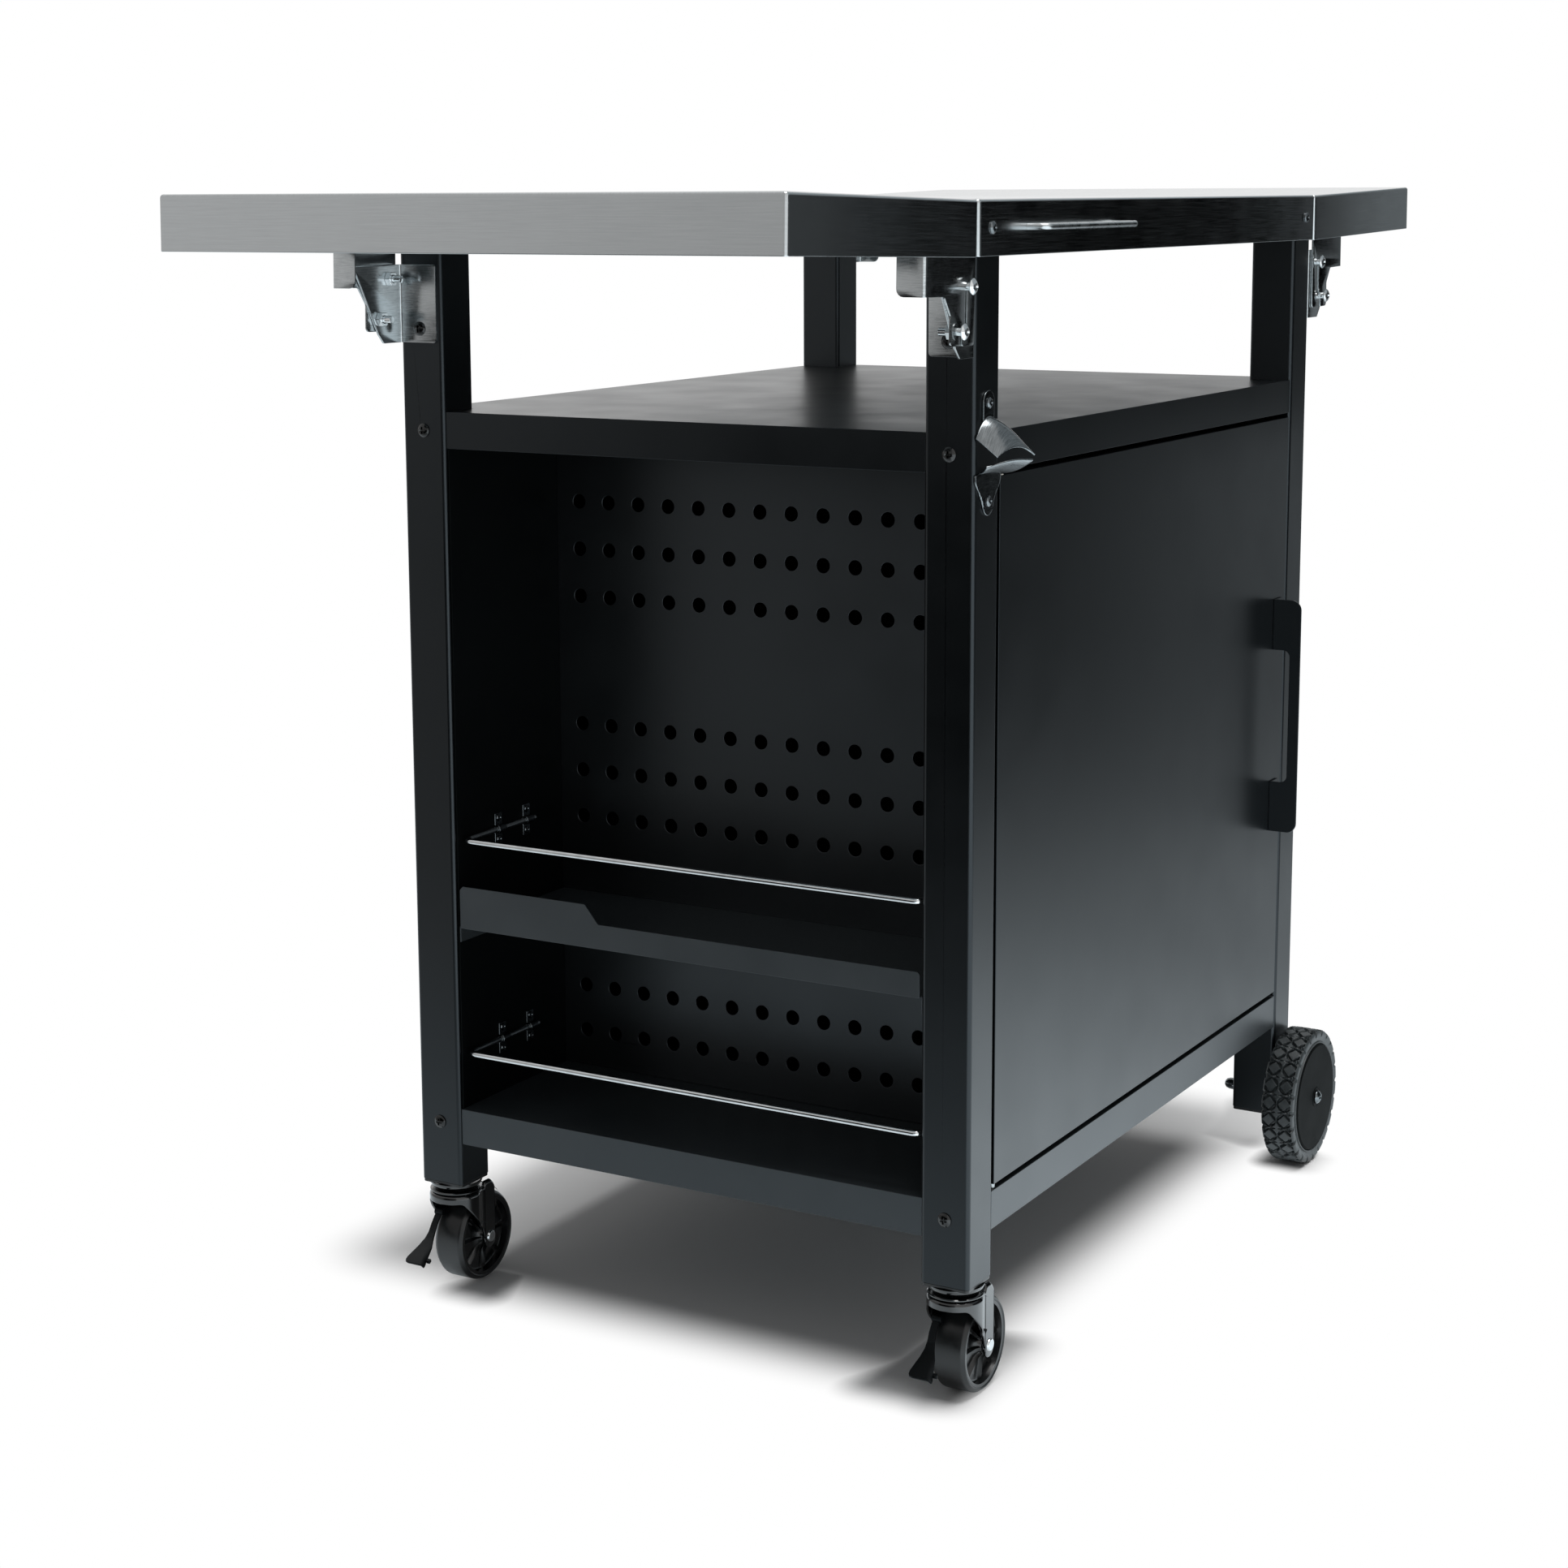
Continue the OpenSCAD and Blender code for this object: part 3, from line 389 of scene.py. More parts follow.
def boxOutline(lowX, highX, lowY, highY, inset=0.0):
    # a rectangle's corners, drawn in by inset
    lowX, highX, lowY, highY = lowX + inset, highX - inset, lowY + inset, highY - inset
    return [(lowX, lowY), (highX, lowY), (highX, highY), (lowX, highY)]


def barSheet(lows, highs):
    # a box with rounded edges, as rings from its lower face to its upper one
    edge = 0.35
    rings = []
    for inset, height in [(edge, lows[2]), (edge * 0.3, lows[2] + edge * 0.3), (0, lows[2] + edge),
                          (0, highs[2] - edge), (edge * 0.3, highs[2] - edge * 0.3), (edge, highs[2])]:
        ring = roundedPath(boxOutline(lows[0], highs[0], lows[1], highs[1], inset), edge, steps=2)
        rings.append(np.column_stack([ring, np.full(len(ring), height)]))
    return sheetOf(np.stack(rings), closed=True, capped=True)


def lathe(profile, sides=48, capped=True):
    # profile rows of (radius, height) turned about Z
    angle = np.linspace(0, 2 * np.pi, sides, endpoint=False)
    radius, height = np.asarray(profile, float).T[..., None]
    grid = np.stack([radius * np.cos(angle), radius * np.sin(angle), np.repeat(height, sides, 1)], -1)
    return sheetOf(grid, closed=True, capped=capped)


def bentBar(corners, bend, height, diameter):
    # a round bar bent in a level plane: circles square to its path, with chamfered ends
    path = roundedPath(corners, bend, closed=False, steps=8)
    path = np.column_stack([path, np.full(len(path), height)])
    ahead = np.gradient(path, axis=0)
    ahead /= np.linalg.norm(ahead, axis=1, keepdims=True)
    up = np.array((0.0, 0.0, 1.0))
    side = np.cross(ahead, up)
    angle = np.linspace(0, 2 * np.pi, 16, endpoint=False)[None, :, None]
    rings = path[:, None] + diameter / 2 * (np.cos(angle) * up + np.sin(angle) * side[:, None])
    chamfer, shrink = 0.4, 0.75
    ends = [path[0] - ahead[0] * chamfer, path[-1] + ahead[-1] * chamfer]
    lids = [end + shrink * (ring - ring.mean(0)) for end, ring in zip(ends, (rings[0], rings[-1]))]
    return sheetOf(np.concatenate([lids[0][None], rings, lids[1][None]]), closed=True, capped=True)


def screwHead(radius, height, shank, length, sides=48):
    # domed head with a cross recess about +Z, its seat at z = 0: the recess rim is min(l / cos, w / sin) of
    # the angle, the dome falls with the power 2.6 of the distance from the middle, the shank is chamfered
    angle = np.arange(sides) * 2 * np.pi / sides
    fold = abs((angle + np.pi / 4) % (np.pi / 2) - np.pi / 4)
    reach = 0.52 * radius
    width = reach * np.tan(np.radians(15))
    rim = np.minimum(reach / np.cos(fold), width / np.maximum(np.sin(fold), 1e-6))
    lip = rim * 1.05

    def dome(r):
        return height * (1 - 0.72 * (r / radius) ** 2.6)

    rows = [(rim * 0.02, height * 0.42), (rim * 0.72, height * 0.46), (rim * 0.97, dome(rim) - 0.22),
            (lip, dome(lip) - 0.02)]
    for share in (0.3, 0.55, 0.75, 0.9, 1.0):
        r = lip + (radius - lip) * share
        rows.append((r, dome(r)))
    rows += [(radius, height * 0.1), (radius - 0.25, 0), (shank, 0), (shank, -length),
             (shank * 0.6, -length - 0.6)]
    grid = np.stack([np.stack([r * np.cos(angle), r * np.sin(angle), np.broadcast_to(z, sides)], -1)
                     for r, z in rows])
    return sheetOf(grid, closed=True, capped=True)


def plateSheet(outline, thickness, edge=0.3, fold=None):
    # a blank cut to a closed outline, with rounded edges and its back at z = 0; fold is the start and length
    # of a bend across x, where the blank is cut into strips so that it can wrap round
    x, y = outline.T
    if np.sum(x * np.roll(y, -1) - y * np.roll(x, -1)) <= 0:
        outline = outline[::-1]
    curve = bpy.data.curves.new("blank", "CURVE")
    curve.dimensions = "2D"
    curve.fill_mode = "BOTH"
    curve.extrude = thickness / 2 - edge
    curve.bevel_depth = edge
    curve.bevel_resolution = 1
    curve.offset = -edge
    spline = curve.splines.new("POLY")
    spline.points.add(len(outline) - 1)
    spline.points.foreach_set("co", np.insert(outline, 2, [[0], [1]], axis=1).ravel())      # z and weight
    spline.use_cyclic_u = True
    blank = addObject("blank", curve)
    mesh = bpy.data.meshes.new_from_object(blank.evaluated_get(bpy.context.evaluated_depsgraph_get()))
    bpy.data.objects.remove(blank)
    work = bmesh.new()
    work.from_mesh(mesh)
    bmesh.ops.remove_doubles(work, verts=work.verts, dist=0.001)
    if fold:
        start, end = fold[0], fold[0] + fold[1]
        for line in (start - 0.3, *np.linspace(start, end, 7), end + 0.3):
            every = work.verts[:] + work.edges[:] + work.faces[:]
            bmesh.ops.bisect_plane(work, geom=every, plane_co=(line, 0, 0), plane_no=(1, 0, 0), dist=0.0005)
    work.to_mesh(mesh)
    work.free()
    points = np.zeros(len(mesh.vertices) * 3)
    mesh.vertices.foreach_get("co", points)
    points = points.reshape(-1, 3) + (0, 0, thickness / 2)
    return points, [list(face.vertices) for face in mesh.polygons], points[:, :2].copy()


# Worktop and leaves: folded pans of satin stainless

worktop = {
    "bend": 2.6,             # outer radius of the folded edges
    "corner": 3.0,
    "reach": 20,             # the fold is drawn this far in, and one flat face closes the middle
    "flange": 14,            # turned-in lower edge of the aprons, and its gap to them
    "clear": 0.05,
    "gap": 4,
    "leafLength": 269,
    "leafTilt": 1.4,
}


def panProfile():
    # across a folded edge: over the top, round the bend, down the apron, under and up its back
    top, bottom, sheet = cart["topZ"], cart["apronZ"], cart["sheet"]
    bend, reach = worktop["bend"], worktop["reach"]
    outer = roundedPath([(reach, top), (0, top), (0, bottom)], bend, closed=False, steps=6, guard=0.3)
    under = roundedPath([(0, top), (0, bottom), (sheet, bottom), (sheet, top)], sheet * 0.45, closed=False,
                        steps=3, guard=0.1)
    inner = roundedPath([(sheet, bottom), (sheet, top - sheet), (reach, top - sheet)], bend - sheet,
                        closed=False, steps=4, guard=0.3)
    return np.concatenate([outer[:-1], under[1:-1], inner[1:]])


def traySheet(lowX, highX, lowY, highY):
    # a pan: the rounded rectangle is drawn in by each profile point's inset and set at its height
    profile = panProfile()
    rings = []
    for inset, height in profile:
        ring = roundedPath(boxOutline(lowX, highX, lowY, highY, inset), max(worktop["corner"] - inset, 0.1),
                           steps=4, guard=0.3)
        rings.append(np.column_stack([ring, np.full(len(ring), height)]))
    grid = np.stack(rings)
    # brushed after folding: the grain runs along x on top and round the pan on its aprons
    drop = profile[0][1] - grid[..., 2]
    walked = np.linalg.norm(np.diff(grid[0, :, :2], axis=0, prepend=grid[0, :1, :2]), axis=1).cumsum()
    hanging = drop >= worktop["bend"]
    grain = [np.where(hanging, walked[None], grid[..., 0]), np.where(hanging, drop, grid[..., 1])]
    return sheetOf(grid, closed=True, capped=True, grain=np.stack(grain, -1))


def tilted(part, side):
    # set at the open leaf's slope about its hinge, then mirrored to its side
    points, faces, grain = part
    turn = np.array(Matrix.Rotation(np.radians(-worktop["leafTilt"]), 3, Vector((0, 1, 0))))
    return moved(((points - pivot) @ turn.T + pivot, faces, grain), flip=(side, 1, 1))


def makeMainTop():
    x, y, inner = cart["topX"], cart["topY"], cart["halfX"] - cart["leg"] - 2
    parts = [traySheet(-x, x, -y, y)]
    for side in (-1, 1):
        ends = sorted((side * (y - worktop["flange"]), side * (y - cart["sheet"] - worktop["clear"])))
        parts.append(barSheet((-inner, ends[0], cart["apronZ"]),
                              (inner, ends[1], cart["apronZ"] + cart["sheet"])))
    buildPiece("main_top_pan", parts, "cart", "steel", ["main_top"])


def makeLeafTop(side, name, body):
    inner = cart["halfX"] + worktop["gap"]
    outer = inner + worktop["leafLength"]
    y, sheet, clear = cart["topY"], cart["sheet"], worktop["clear"]
    flange = barSheet((outer - worktop["flange"], -y + sheet + 2 * clear, cart["apronZ"]),
                      (outer - sheet - clear, y - sheet - 2 * clear, cart["apronZ"] + sheet))
    parts = [tilted(part, side) for part in (traySheet(inner, outer, -y, y), flange)]
    buildPiece(name + "_pan", parts, body, "steel", [name])


makeMainTop()
makeLeafTop(-1, "leaf_left_top", "leaf_left")
makeLeafTop(1, "leaf_right_top", "leaf_right")
print("worktop and leaves made")


# Folding brackets: plates cut flat, then folded

bracket = {
    "webThick": 2.0,
    "plateThick": 1.5,
    "plateY": cart["topY"] - cart["sheet"],         # outer face of the leaf's plates
    "bend": 1.3,                                    # inner radius of the folds
    "pivotOut": 16.5,                               # from the leg's face to the hinge
    "stop": (12.5, -31.0),                          # lower bolt, from the hinge
    "standOff": 3.7,                                # how far the heads stand off the plate
    "upperHead": {"radius": 5.8, "height": 3.4, "shank": 2.9, "length": 20.2},
    "lowerHead": {"radius": 5.8, "height": 3.4, "shank": 2.8, "length": 3.7},
    "flangeX": cart["halfX"] + worktop["gap"] + 78,
    "flangeDeep": 22,
    "legFlange": 36,
    "webTop": 10.9,
    "foot": -50,                                    # lower end of the leg bracket
    "plateFoot": -41,                               # lower end of the leaf's plates
    "eye": 3.1,                                     # radius of the slot's round end
}


def bendLength(thickness):
    return (bracket["bend"] + thickness / 2) * np.pi / 2


def flatEnd(flangeTo, flangeDeep, thickness):
    # where the blank has to end for its flange to be flangeDeep once it is folded
    return flangeTo - 2 * (bracket["bend"] + thickness) + bendLength(thickness) + flangeDeep


def foldedPlate(outline, flangeTo, thickness, edge):
    # a blank folded square, its flange's outer face at x = flangeTo: past the bend's start the sheet wraps
    # an arc towards +z and runs on straight
    radius = bracket["bend"]
    start, length = flangeTo - radius - thickness, bendLength(thickness)
    points, faces, grain = plateSheet(outline, thickness, edge, (start, length))
    middle = radius + thickness / 2
    past = np.maximum(points[:, 0] - start, 0)
    angle = np.minimum(past / middle, np.pi / 2)
    rest = past - angle * middle
    arm = thickness + radius - points[:, 2]
    x = np.minimum(points[:, 0], start) + arm * np.sin(angle) + rest * np.cos(angle)
    z = thickness + radius - arm * np.cos(angle) + rest * np.sin(angle)
    return np.column_stack([x, points[:, 1], np.where(past > 0, z, points[:, 2])]), faces, grain


def legBracketSheet():
    # an angle: the web stands out from the leg's face, the flange lies on the leg; x runs towards the flange
    thick, top, foot = bracket["webThick"], bracket["webTop"], bracket["foot"]
    end = flatEnd(0, bracket["legFlange"], thick)
    web = [(7.5, foot), (14, -43), (32.5, -9), (41, 6), (41, top)]
    corners = [(-bracket["pivotOut"] - x, z) for x, z in web] + [(end, top), (end, foot)]
    outline = roundedPath(corners, [1.5, 2, 4, 4, 1, 1.5, 3], steps=4)
    points, faces, grain = foldedPlate(outline, 0, thick, 0.3)
    return np.column_stack([cart["halfX"] - points[:, 0], points[:, 2] - cart["halfY"],
                            points[:, 1] + pivot[2]]), faces, grain


def leafPlateSheet():
    # the leaf's plate with its slot, its far end folded in as a flange; measured from the hinge
    thick, foot, eye = bracket["plateThick"], bracket["plateFoot"], bracket["eye"]
    inner = worktop["gap"] + 0.5 - bracket["pivotOut"]
    inApron = worktop["gap"] + cart["sheet"] - bracket["pivotOut"]
    flange = bracket["flangeX"] - pivot[0]
    end = flatEnd(flange, bracket["flangeDeep"], thick)
    top = cart["topZ"] - cart["sheet"] - 3 - pivot[2]
    under = cart["apronZ"] - pivot[2]
    rim = roundedPath([(inApron, top), (inApron, under), (inner, under), (inner, foot), (6.5, foot),
                       (6.5, -34.5), (-1, -28)], [0, 0, 0, 3.5, 1.2, 1.5, 1.5], closed=False, steps=4)
    angle = np.radians(np.linspace(-109, -378, 16))
    slotEnd = eye * np.column_stack([np.cos(angle), np.sin(angle)])
    slot = roundedPath([(2.9, -1.2), (4.2, -3), (4.2, -26), (10.5, -33), (10.5, foot), (25.5, foot),
                        (25.5, -20), (35.5, -7), (end, -7), (end, top)],
                       [0, 0.8, 2, 2, 1.2, 3.5, 3, 4, 5.5, 0], closed=False, steps=4)
    outline = np.concatenate([rim, slotEnd, slot[1:]])
    points, faces, grain = foldedPlate(outline, flange, thick, 0.28)
    return np.column_stack([points[:, 0] + pivot[0], points[:, 2] - bracket["plateY"],
                            points[:, 1] + pivot[2]]), faces, grain


def makeBrackets():
    leg = legBracketSheet()
    for tag, flip in (("fl", (-1, 1, 1)), ("bl", (-1, -1, 1)), ("fr", (1, 1, 1)), ("br", (1, -1, 1))):
        buildPiece("leg_bracket_folded_" + tag, [moved(leg, flip=flip)], "cart", "bracketSteel",
                   ["leg_bracket_" + tag])
    plate = leafPlateSheet()
    faceY = -bracket["plateY"] - bracket["standOff"]
    turn = facing((0, -1, 0))
    stopX, stopZ = bracket["stop"]
    lower = moved(screwHead(**bracket["lowerHead"]), (pivot[0] + stopX, faceY, pivot[2] + stopZ), turn)
    upper = moved(screwHead(**bracket["upperHead"]), (pivot[0], faceY, pivot[2]), turn)
    for side, name in ((-1, "leaf_left"), (1, "leaf_right")):
        plates, studs = ([tilted(moved(part, flip=(1, flip, 1)), side) for flip in (1, -1)]
                         for part in (plate, lower))
        buildPiece(name + "_plates_folded", plates, name, "bracketSteel", [name + "_plates"])
        buildPiece(name + "_lower_heads", studs, name, "chrome", [name + "_studs"], sharp=40)
    buildPiece("pivot_bolts_domed", [moved(upper, flip=(x, y, 1)) for x, y in everyCorner], "cart", "chrome",
               ["pivot_bolts"], sharp=40)


makeBrackets()
print("brackets made")


# Rods: bent from one bar, held by saddles

rods = {"diameter": 5.0, "z": (384.8, 206.7), "x": -335.0, "wallY": 210.3, "clipX": (-283.5, -243.5),
        "clipHoles": (-9, 9), "clipThick": 1.2, "end": -234.5, "bend": 9.0}


def makeRods():
    y = rods["wallY"] - rods["diameter"] / 2
    corners = [(rods["end"], -y), (rods["x"], -y), (rods["x"], y), (rods["end"], y)]
    parts = [bentBar(corners, rods["bend"], z, rods["diameter"]) for z in rods["z"]]
    buildPiece("retaining_rods_bent", parts, "cart", "chrome", ["retaining_rods"])


rail = {"diameter": 5.0, "x": (-264.1, -99.5), "z": 875.0, "out": 15.0, "in": 9.0, "bend": 6.0}


def makeRail():
    low, high = rail["x"]
    near, far = -cart["topY"] + rail["in"], -cart["topY"] - rail["out"]
    corners = [(low, near), (low, far), (high, far), (high, near)]
    buildPiece("wire_rail_bent", [bentBar(corners, rail["bend"], rail["z"], rail["diameter"])], "cart",
               "satinRod", ["wire_rail"])


# Bottle opener: one sheet with a tab, an arched hood and a lip that curls up under it

opener = {
    "x": -323.0, "z": 720.0, "thick": 1.5,
    "half": 20.0,                 # half width
    "rootZ": 742.0,               # where the hood leaves the tab, and how far it falls to the left and right
    "rootFall": (14.0, 6.0),
    "edge": (3.5, -20.5, 0.8),    # middle of the hood's edge, from x, the sheet and z
    "edgeHalf": 16.5, "skew": 7.0, "edgeFall": 6.4,
    "arch": (-1.2, 3.0),          # how far the hood bulges out and up
    "tab": 0.4375,                # share of the width that runs up into the tab
    "tabR": 9,
    "screwZ": (32, -38),          # from z, as the next two
    "shoulderZ": -18.5,           # the shield's top
    "footZ": -40, "footR": 8.2,   # and its round end
    "lipSag": 2.6,
}


def makeOpener():
    x, z, half = opener["x"], opener["z"], opener["half"]
    front = -cart["halfY"] - opener["thick"] / 2
    # hood: straight lines from the root to the edge, bulged by sin(pi v) across and 1 - u ** 2 along
    u = np.linspace(-1, 1, 33)
    root = np.column_stack([x + half * u, np.full(33, front),
                            opener["rootZ"] - np.where(u < 0, *opener["rootFall"]) * abs(u) ** 1.8])
    edgeX, edgeY, edgeZ = opener["edge"]
    edge = np.column_stack([x + edgeX + opener["edgeHalf"] * u, front + edgeY - opener["skew"] * u,
                            z + edgeZ - opener["edgeFall"] * u ** 2])
    v = np.array([0, 0.04, 0.1, 0.2, 0.35, 0.5, 0.65, 0.8, 0.92, 1.0])[:, None, None]
    hood = root + (edge - root) * v
    hood[..., 1:] += opener["arch"] * np.sin(np.pi * v) * (1 - u ** 2)[:, None]
    # tab: from the root's middle up to a round end
    root = root[abs(u) <= opener["tab"] + 1e-6]
    top = z + opener["screwZ"][0] + np.sqrt(np.maximum(opener["tabR"] ** 2 - (root[:, 0] - x) ** 2, 0.3))
    tab = np.repeat(root[None], 9, 0)
    tab[..., 2] += (top - root[:, 2]) * np.linspace(1, 0, 9)[:, None]
    # shield: a lower plate that narrows to a round end
    across = np.linspace(-1, 1, 21)
    down = np.linspace(0, 1, 16)[:, None]
    width = np.interp(down, [0, 0.22, 0.45, 0.78, 1.0], [20.5, 20.6, 17.5, 10.5, opener["footR"]])
    shoulder = z + opener["shoulderZ"] + 3.0 * (1 - across ** 2)
    foot = z + opener["footZ"] - 8.4 * np.sqrt(np.maximum(1 - across ** 2, 0))
    heights = shoulder + (foot - shoulder) * down
    shield = np.stack([x + width * across, np.full((16, 21), front), heights], -1)
    # lip: leaves the shield's top, dips outwards and curls up to the hood's tip
    along = np.linspace(0, 1, 21)
    base = np.column_stack([x - 12 + 32 * along, np.full(21, front), z - 17.2 - 2.0 * along ** 2])
    tip = np.column_stack([x - 17 + 36.5 * along, front - 7 - 19.5 * along ** 0.8,
                           z - 12.0 + 3.2 * along + 2.4 * np.sin(np.pi * along)])
    out = np.linspace(0, 1, 12)[:, None, None]
    lip = base + (tip - base) * out
    lip[..., 2] -= opener["lipSag"] * np.sin(np.pi * out[..., 0]) * (0.35 + 0.65 * along)
    # painted shade: the opener takes the darkened stainless
    piece = buildPiece("bottle_opener_pressed", [sheetOf(part) for part in (tab, hood, shield, lip)], "cart",
                       "openerSteelPaintedShade", ["bottle_opener"], sharp=70, weld=0.01)
    addWall(piece, opener["thick"], edge=0.35)


# Screws

screws = {
    "leg": {"radius": 5.5, "height": 2.8, "shank": 1.9, "length": 8},        # black ones through the legs
    "legZ": (716.0, 147.0),
    "bracketZ": -39,                                                         # third one, from the hinge
    "apron": {"radius": 4.6, "height": 2.6, "shank": 1.9, "length": 8},      # bright ones through the aprons
    "apronDrop": 20,
    "opener": {"radius": 4.0, "height": 2.2, "shank": 1.9, "length": 7},
    "clip": {"radius": 3.0, "height": 1.5, "shank": 1.4, "length": 5, "sides": 24},
}


def makeScrews():
    legX, legY = cart["halfX"], cart["halfY"] - cart["leg"] / 2
    head = screwHead(**screws["leg"])
    places = [(legX, z) for z in screws["legZ"]]
    places.append((legX + bracket["webThick"], pivot[2] + screws["bracketZ"]))
    parts = [moved(moved(head, (x, -legY, z), facing((1, 0, 0))), flip=(sideX, -sideY, 1))
             for sideX, sideY in everyCorner for x, z in places]
    buildPiece("black_screws_cross", parts, "cart", "blackZinc", ["black_screws"], sharp=40)
    turn = facing((0, -1, 0))
    middle = legX - cart["leg"] / 2
    apron = moved(screwHead(**screws["apron"]),
                  (middle, -cart["topY"], cart["topZ"] - screws["apronDrop"]), turn)
    parts = [moved(apron, flip=(sideX, sideY, 1)) for sideX, sideY in everyCorner]
    small = screwHead(**screws["opener"])
    parts += [moved(small, (-middle, -cart["halfY"] - opener["thick"], opener["z"] + dz), turn)
              for dz in opener["screwZ"]]
    clip = screwHead(**screws["clip"])
    wall = rods["wallY"] - rods["clipThick"]
    parts += [moved(clip, (x, side * wall, z + dz), facing((0, -side, 0)))
              for x in rods["clipX"] for z in rods["z"] for side in (-1, 1) for dz in rods["clipHoles"]]
    buildPiece("bright_screws_cross", parts, "cart", "chromePaintedShade", ["bright_screws"], sharp=40)


makeRods()
makeRail()
makeOpener()
makeScrews()
print("rods, rail, opener and screws made")


# Casters: swivel fork, dished wheel, tyre and brake pedal

caster = {
    "legX": -(cart["halfX"] - cart["leg"] / 2), "legY": cart["halfY"] - cart["leg"] / 2,
    "radius": 37.5, "width": 28.4, "band": 33.2, "bore": 3.6,
    "ribs": 8, "ribHigh": 3.4,
    "trail": 23.0,                           # how far the axle stands behind the swivel
    "plate": 2.2, "sideY": 17.6,             # the fork's sheet and the outer face of its side plates
    "skirtR": 22.3, "skirtTop": 83.4, "topBend": 3.2,
    "easeRun": 13,                           # the skirt runs out into the side plate over this length
    "top": 87.0, "riseFrom": 15, "riseRun": 3,         # the side plate's higher top and the step up to it
    "cornerFrom": 59, "cornerFall": 0.16,
    "deckZ": 81.2, "deckTop": 83.3, "bridge": 2.0,
    "pedalX": -9, "pedalZ": 64, "pedalSheet": 1.6, "pedalRoll": 1.6,
    "hookZ": 37.6, "hook": 2.6,
}


def easeIn(value):
    # 0 to 1 with flat ends: 3 v ** 2 - 2 v ** 3
    value = np.clip(value, 0, 1)
    return value * value * (3 - 2 * value)


def forkHalfSheet():
    # one half of the pressed fork: a skirt round the swivel that runs out into a flat side plate;
    # x along its plan line t, z from the top down to the cut edge
    skirt, bend = caster["skirtR"], caster["topBend"]
    quarter = skirt * np.pi / 2
    cut = roundedPath([(0, 76.2), (19.5, 76.2), (33.8, 60.5), (47.4, 47.5), (50.3, 38), (50.3, 28),
                       (64.6, 28), (64.6, 40)], [0, 7, 14, 8, 5, 7, 7, 0], closed=False, steps=10)[:-1]
    walked = np.concatenate([[0], np.linalg.norm(np.diff(cut, axis=0), axis=1).cumsum()])
    evenly = np.linspace(0, walked[-1], 110)
    t, low = (np.interp(evenly, walked, column) for column in cut.T)
    angle = np.pi + np.minimum(t, quarter) / skirt
    straight = np.maximum(t - quarter, 0)
    planX = skirt * np.cos(angle) + straight
    planY = skirt * np.sin(angle) + (skirt - caster["sideY"]) * easeIn(straight / caster["easeRun"])
    # the top edge turns in over the swivel along a small radius; the strap's far top corner is rounded
    step = easeIn((straight - caster["riseFrom"]) / caster["riseRun"])
    topZ = caster["skirtTop"] + (caster["top"] - caster["skirtTop"]) * step
    topZ -= np.maximum(t - caster["cornerFrom"], 0) ** 2 * caster["cornerFall"]
    inwardX = -np.cos(angle) * (t < quarter)
    inwardY = -np.where(t < quarter, np.sin(angle), -1.0)
    rows = []
    for turn in np.radians(np.linspace(90, 0, 6)):
        pull = bend - bend * np.cos(turn)
        rows.append([planX + inwardX * pull, planY + inwardY * pull, topZ - bend + bend * np.sin(turn)])
    for share in (0.03, 0.15, 0.35, 0.6, 0.85, 1.0):
        rows.append([planX, planY, topZ - bend + (low - topZ + bend) * share])
    return sheetOf(np.moveaxis(np.array(rows), 1, 2))


def wheelFace():
    # dished web with radial ribs: height is a function of radius and angle
    angle = np.linspace(0, 2 * np.pi, 160, endpoint=False)
    bore, band = caster["bore"], caster["band"]
    radii = np.array([bore, 7.0, 7.6, 8.2, 10, 13, 16, 19, 22, 25, 28, 29.4, 30.0, 30.8, band])[:, None]
    dish = np.interp(radii, [bore, 7.0, 8.2, 12, 28, 29.4, 30.8, band],
                     [0.6, 0.6, 3.2, 5.6, 7.0, 6.4, 1.2, 0.9])
    rib = np.maximum(np.cos(angle * caster["ribs"]), 0) ** 24
    lift = rib * np.interp(radii, [7.6, 8.2, 28, 30.0], [0, 1, 1, 0]) * caster["ribHigh"]
    height = caster["width"] / 2 - (dish - lift)
    return np.stack([radii * np.cos(angle), radii * np.sin(angle), height], -1)


def makeCasterHead(place, tag):
    # a bowl under the leg, its stem, the rolled ring of the lower race and the swivel's rivet
    bowl = lathe([(5.5, 89.2), (9, 88.9), (15, 89.4), (19.4, 91.4), (20.9, 92.6), (21.7, 92.6),
                  (21.8, 91.8), (20.6, 89.2), (17.6, 86.4), (16.6, 85.0), (5.5, 85.0)], 96)
    stem = lathe([(4.6, 116), (5.5, 114.5), (5.5, 86), (4.6, 86)], 32)
    ring = lathe([(16.0, 83.9), (19, 83.8), (21.0, 84.0), (21.7, 84.6), (21.7, 85.3), (21.0, 85.9),
                  (19, 86.1), (16.0, 85.9)], 96)
    rivet = lathe([(3.6, 84), (4.0, 78.4), (7.2, 78.4), (7.2, 76.3), (5, 75.3), (2, 75.0)], 32)
    parts = [moved(part, place) for part in (bowl, stem, ring, rivet)]
    buildPiece("caster_head_pressed_" + tag, parts, "cart", "enamel", ["caster_head_" + tag])


def makeCasterFork(place, tag):
    half = forkHalfSheet()
    parts = [moved(half, place, flip=(1, flip, 1)) for flip in (1, -1)]
    fork = buildPiece("caster_fork_pressed_" + tag, parts, "fork_" + tag, "enamel", ["caster_fork_" + tag],
                      sharp=60, weld=0.02)
    addWall(fork, caster["plate"], -1.0, 0.5)
    low, high = caster["deckZ"], caster["deckTop"]
    deck = lathe([(4.1, low), (18.6, low), (18.6, high), (4.1, high)], 64, capped=False)
    outline = roundedPath(boxOutline(0, 25, -15, 15), [0.5, 3, 3, 0.5], steps=4)
    top = [moved(deck, place), moved(plateSheet(outline, caster["bridge"]), (place[0], place[1], low))]
    buildPiece("caster_fork_top_" + tag, top, "fork_" + tag, "enamel", bevel=0.3)


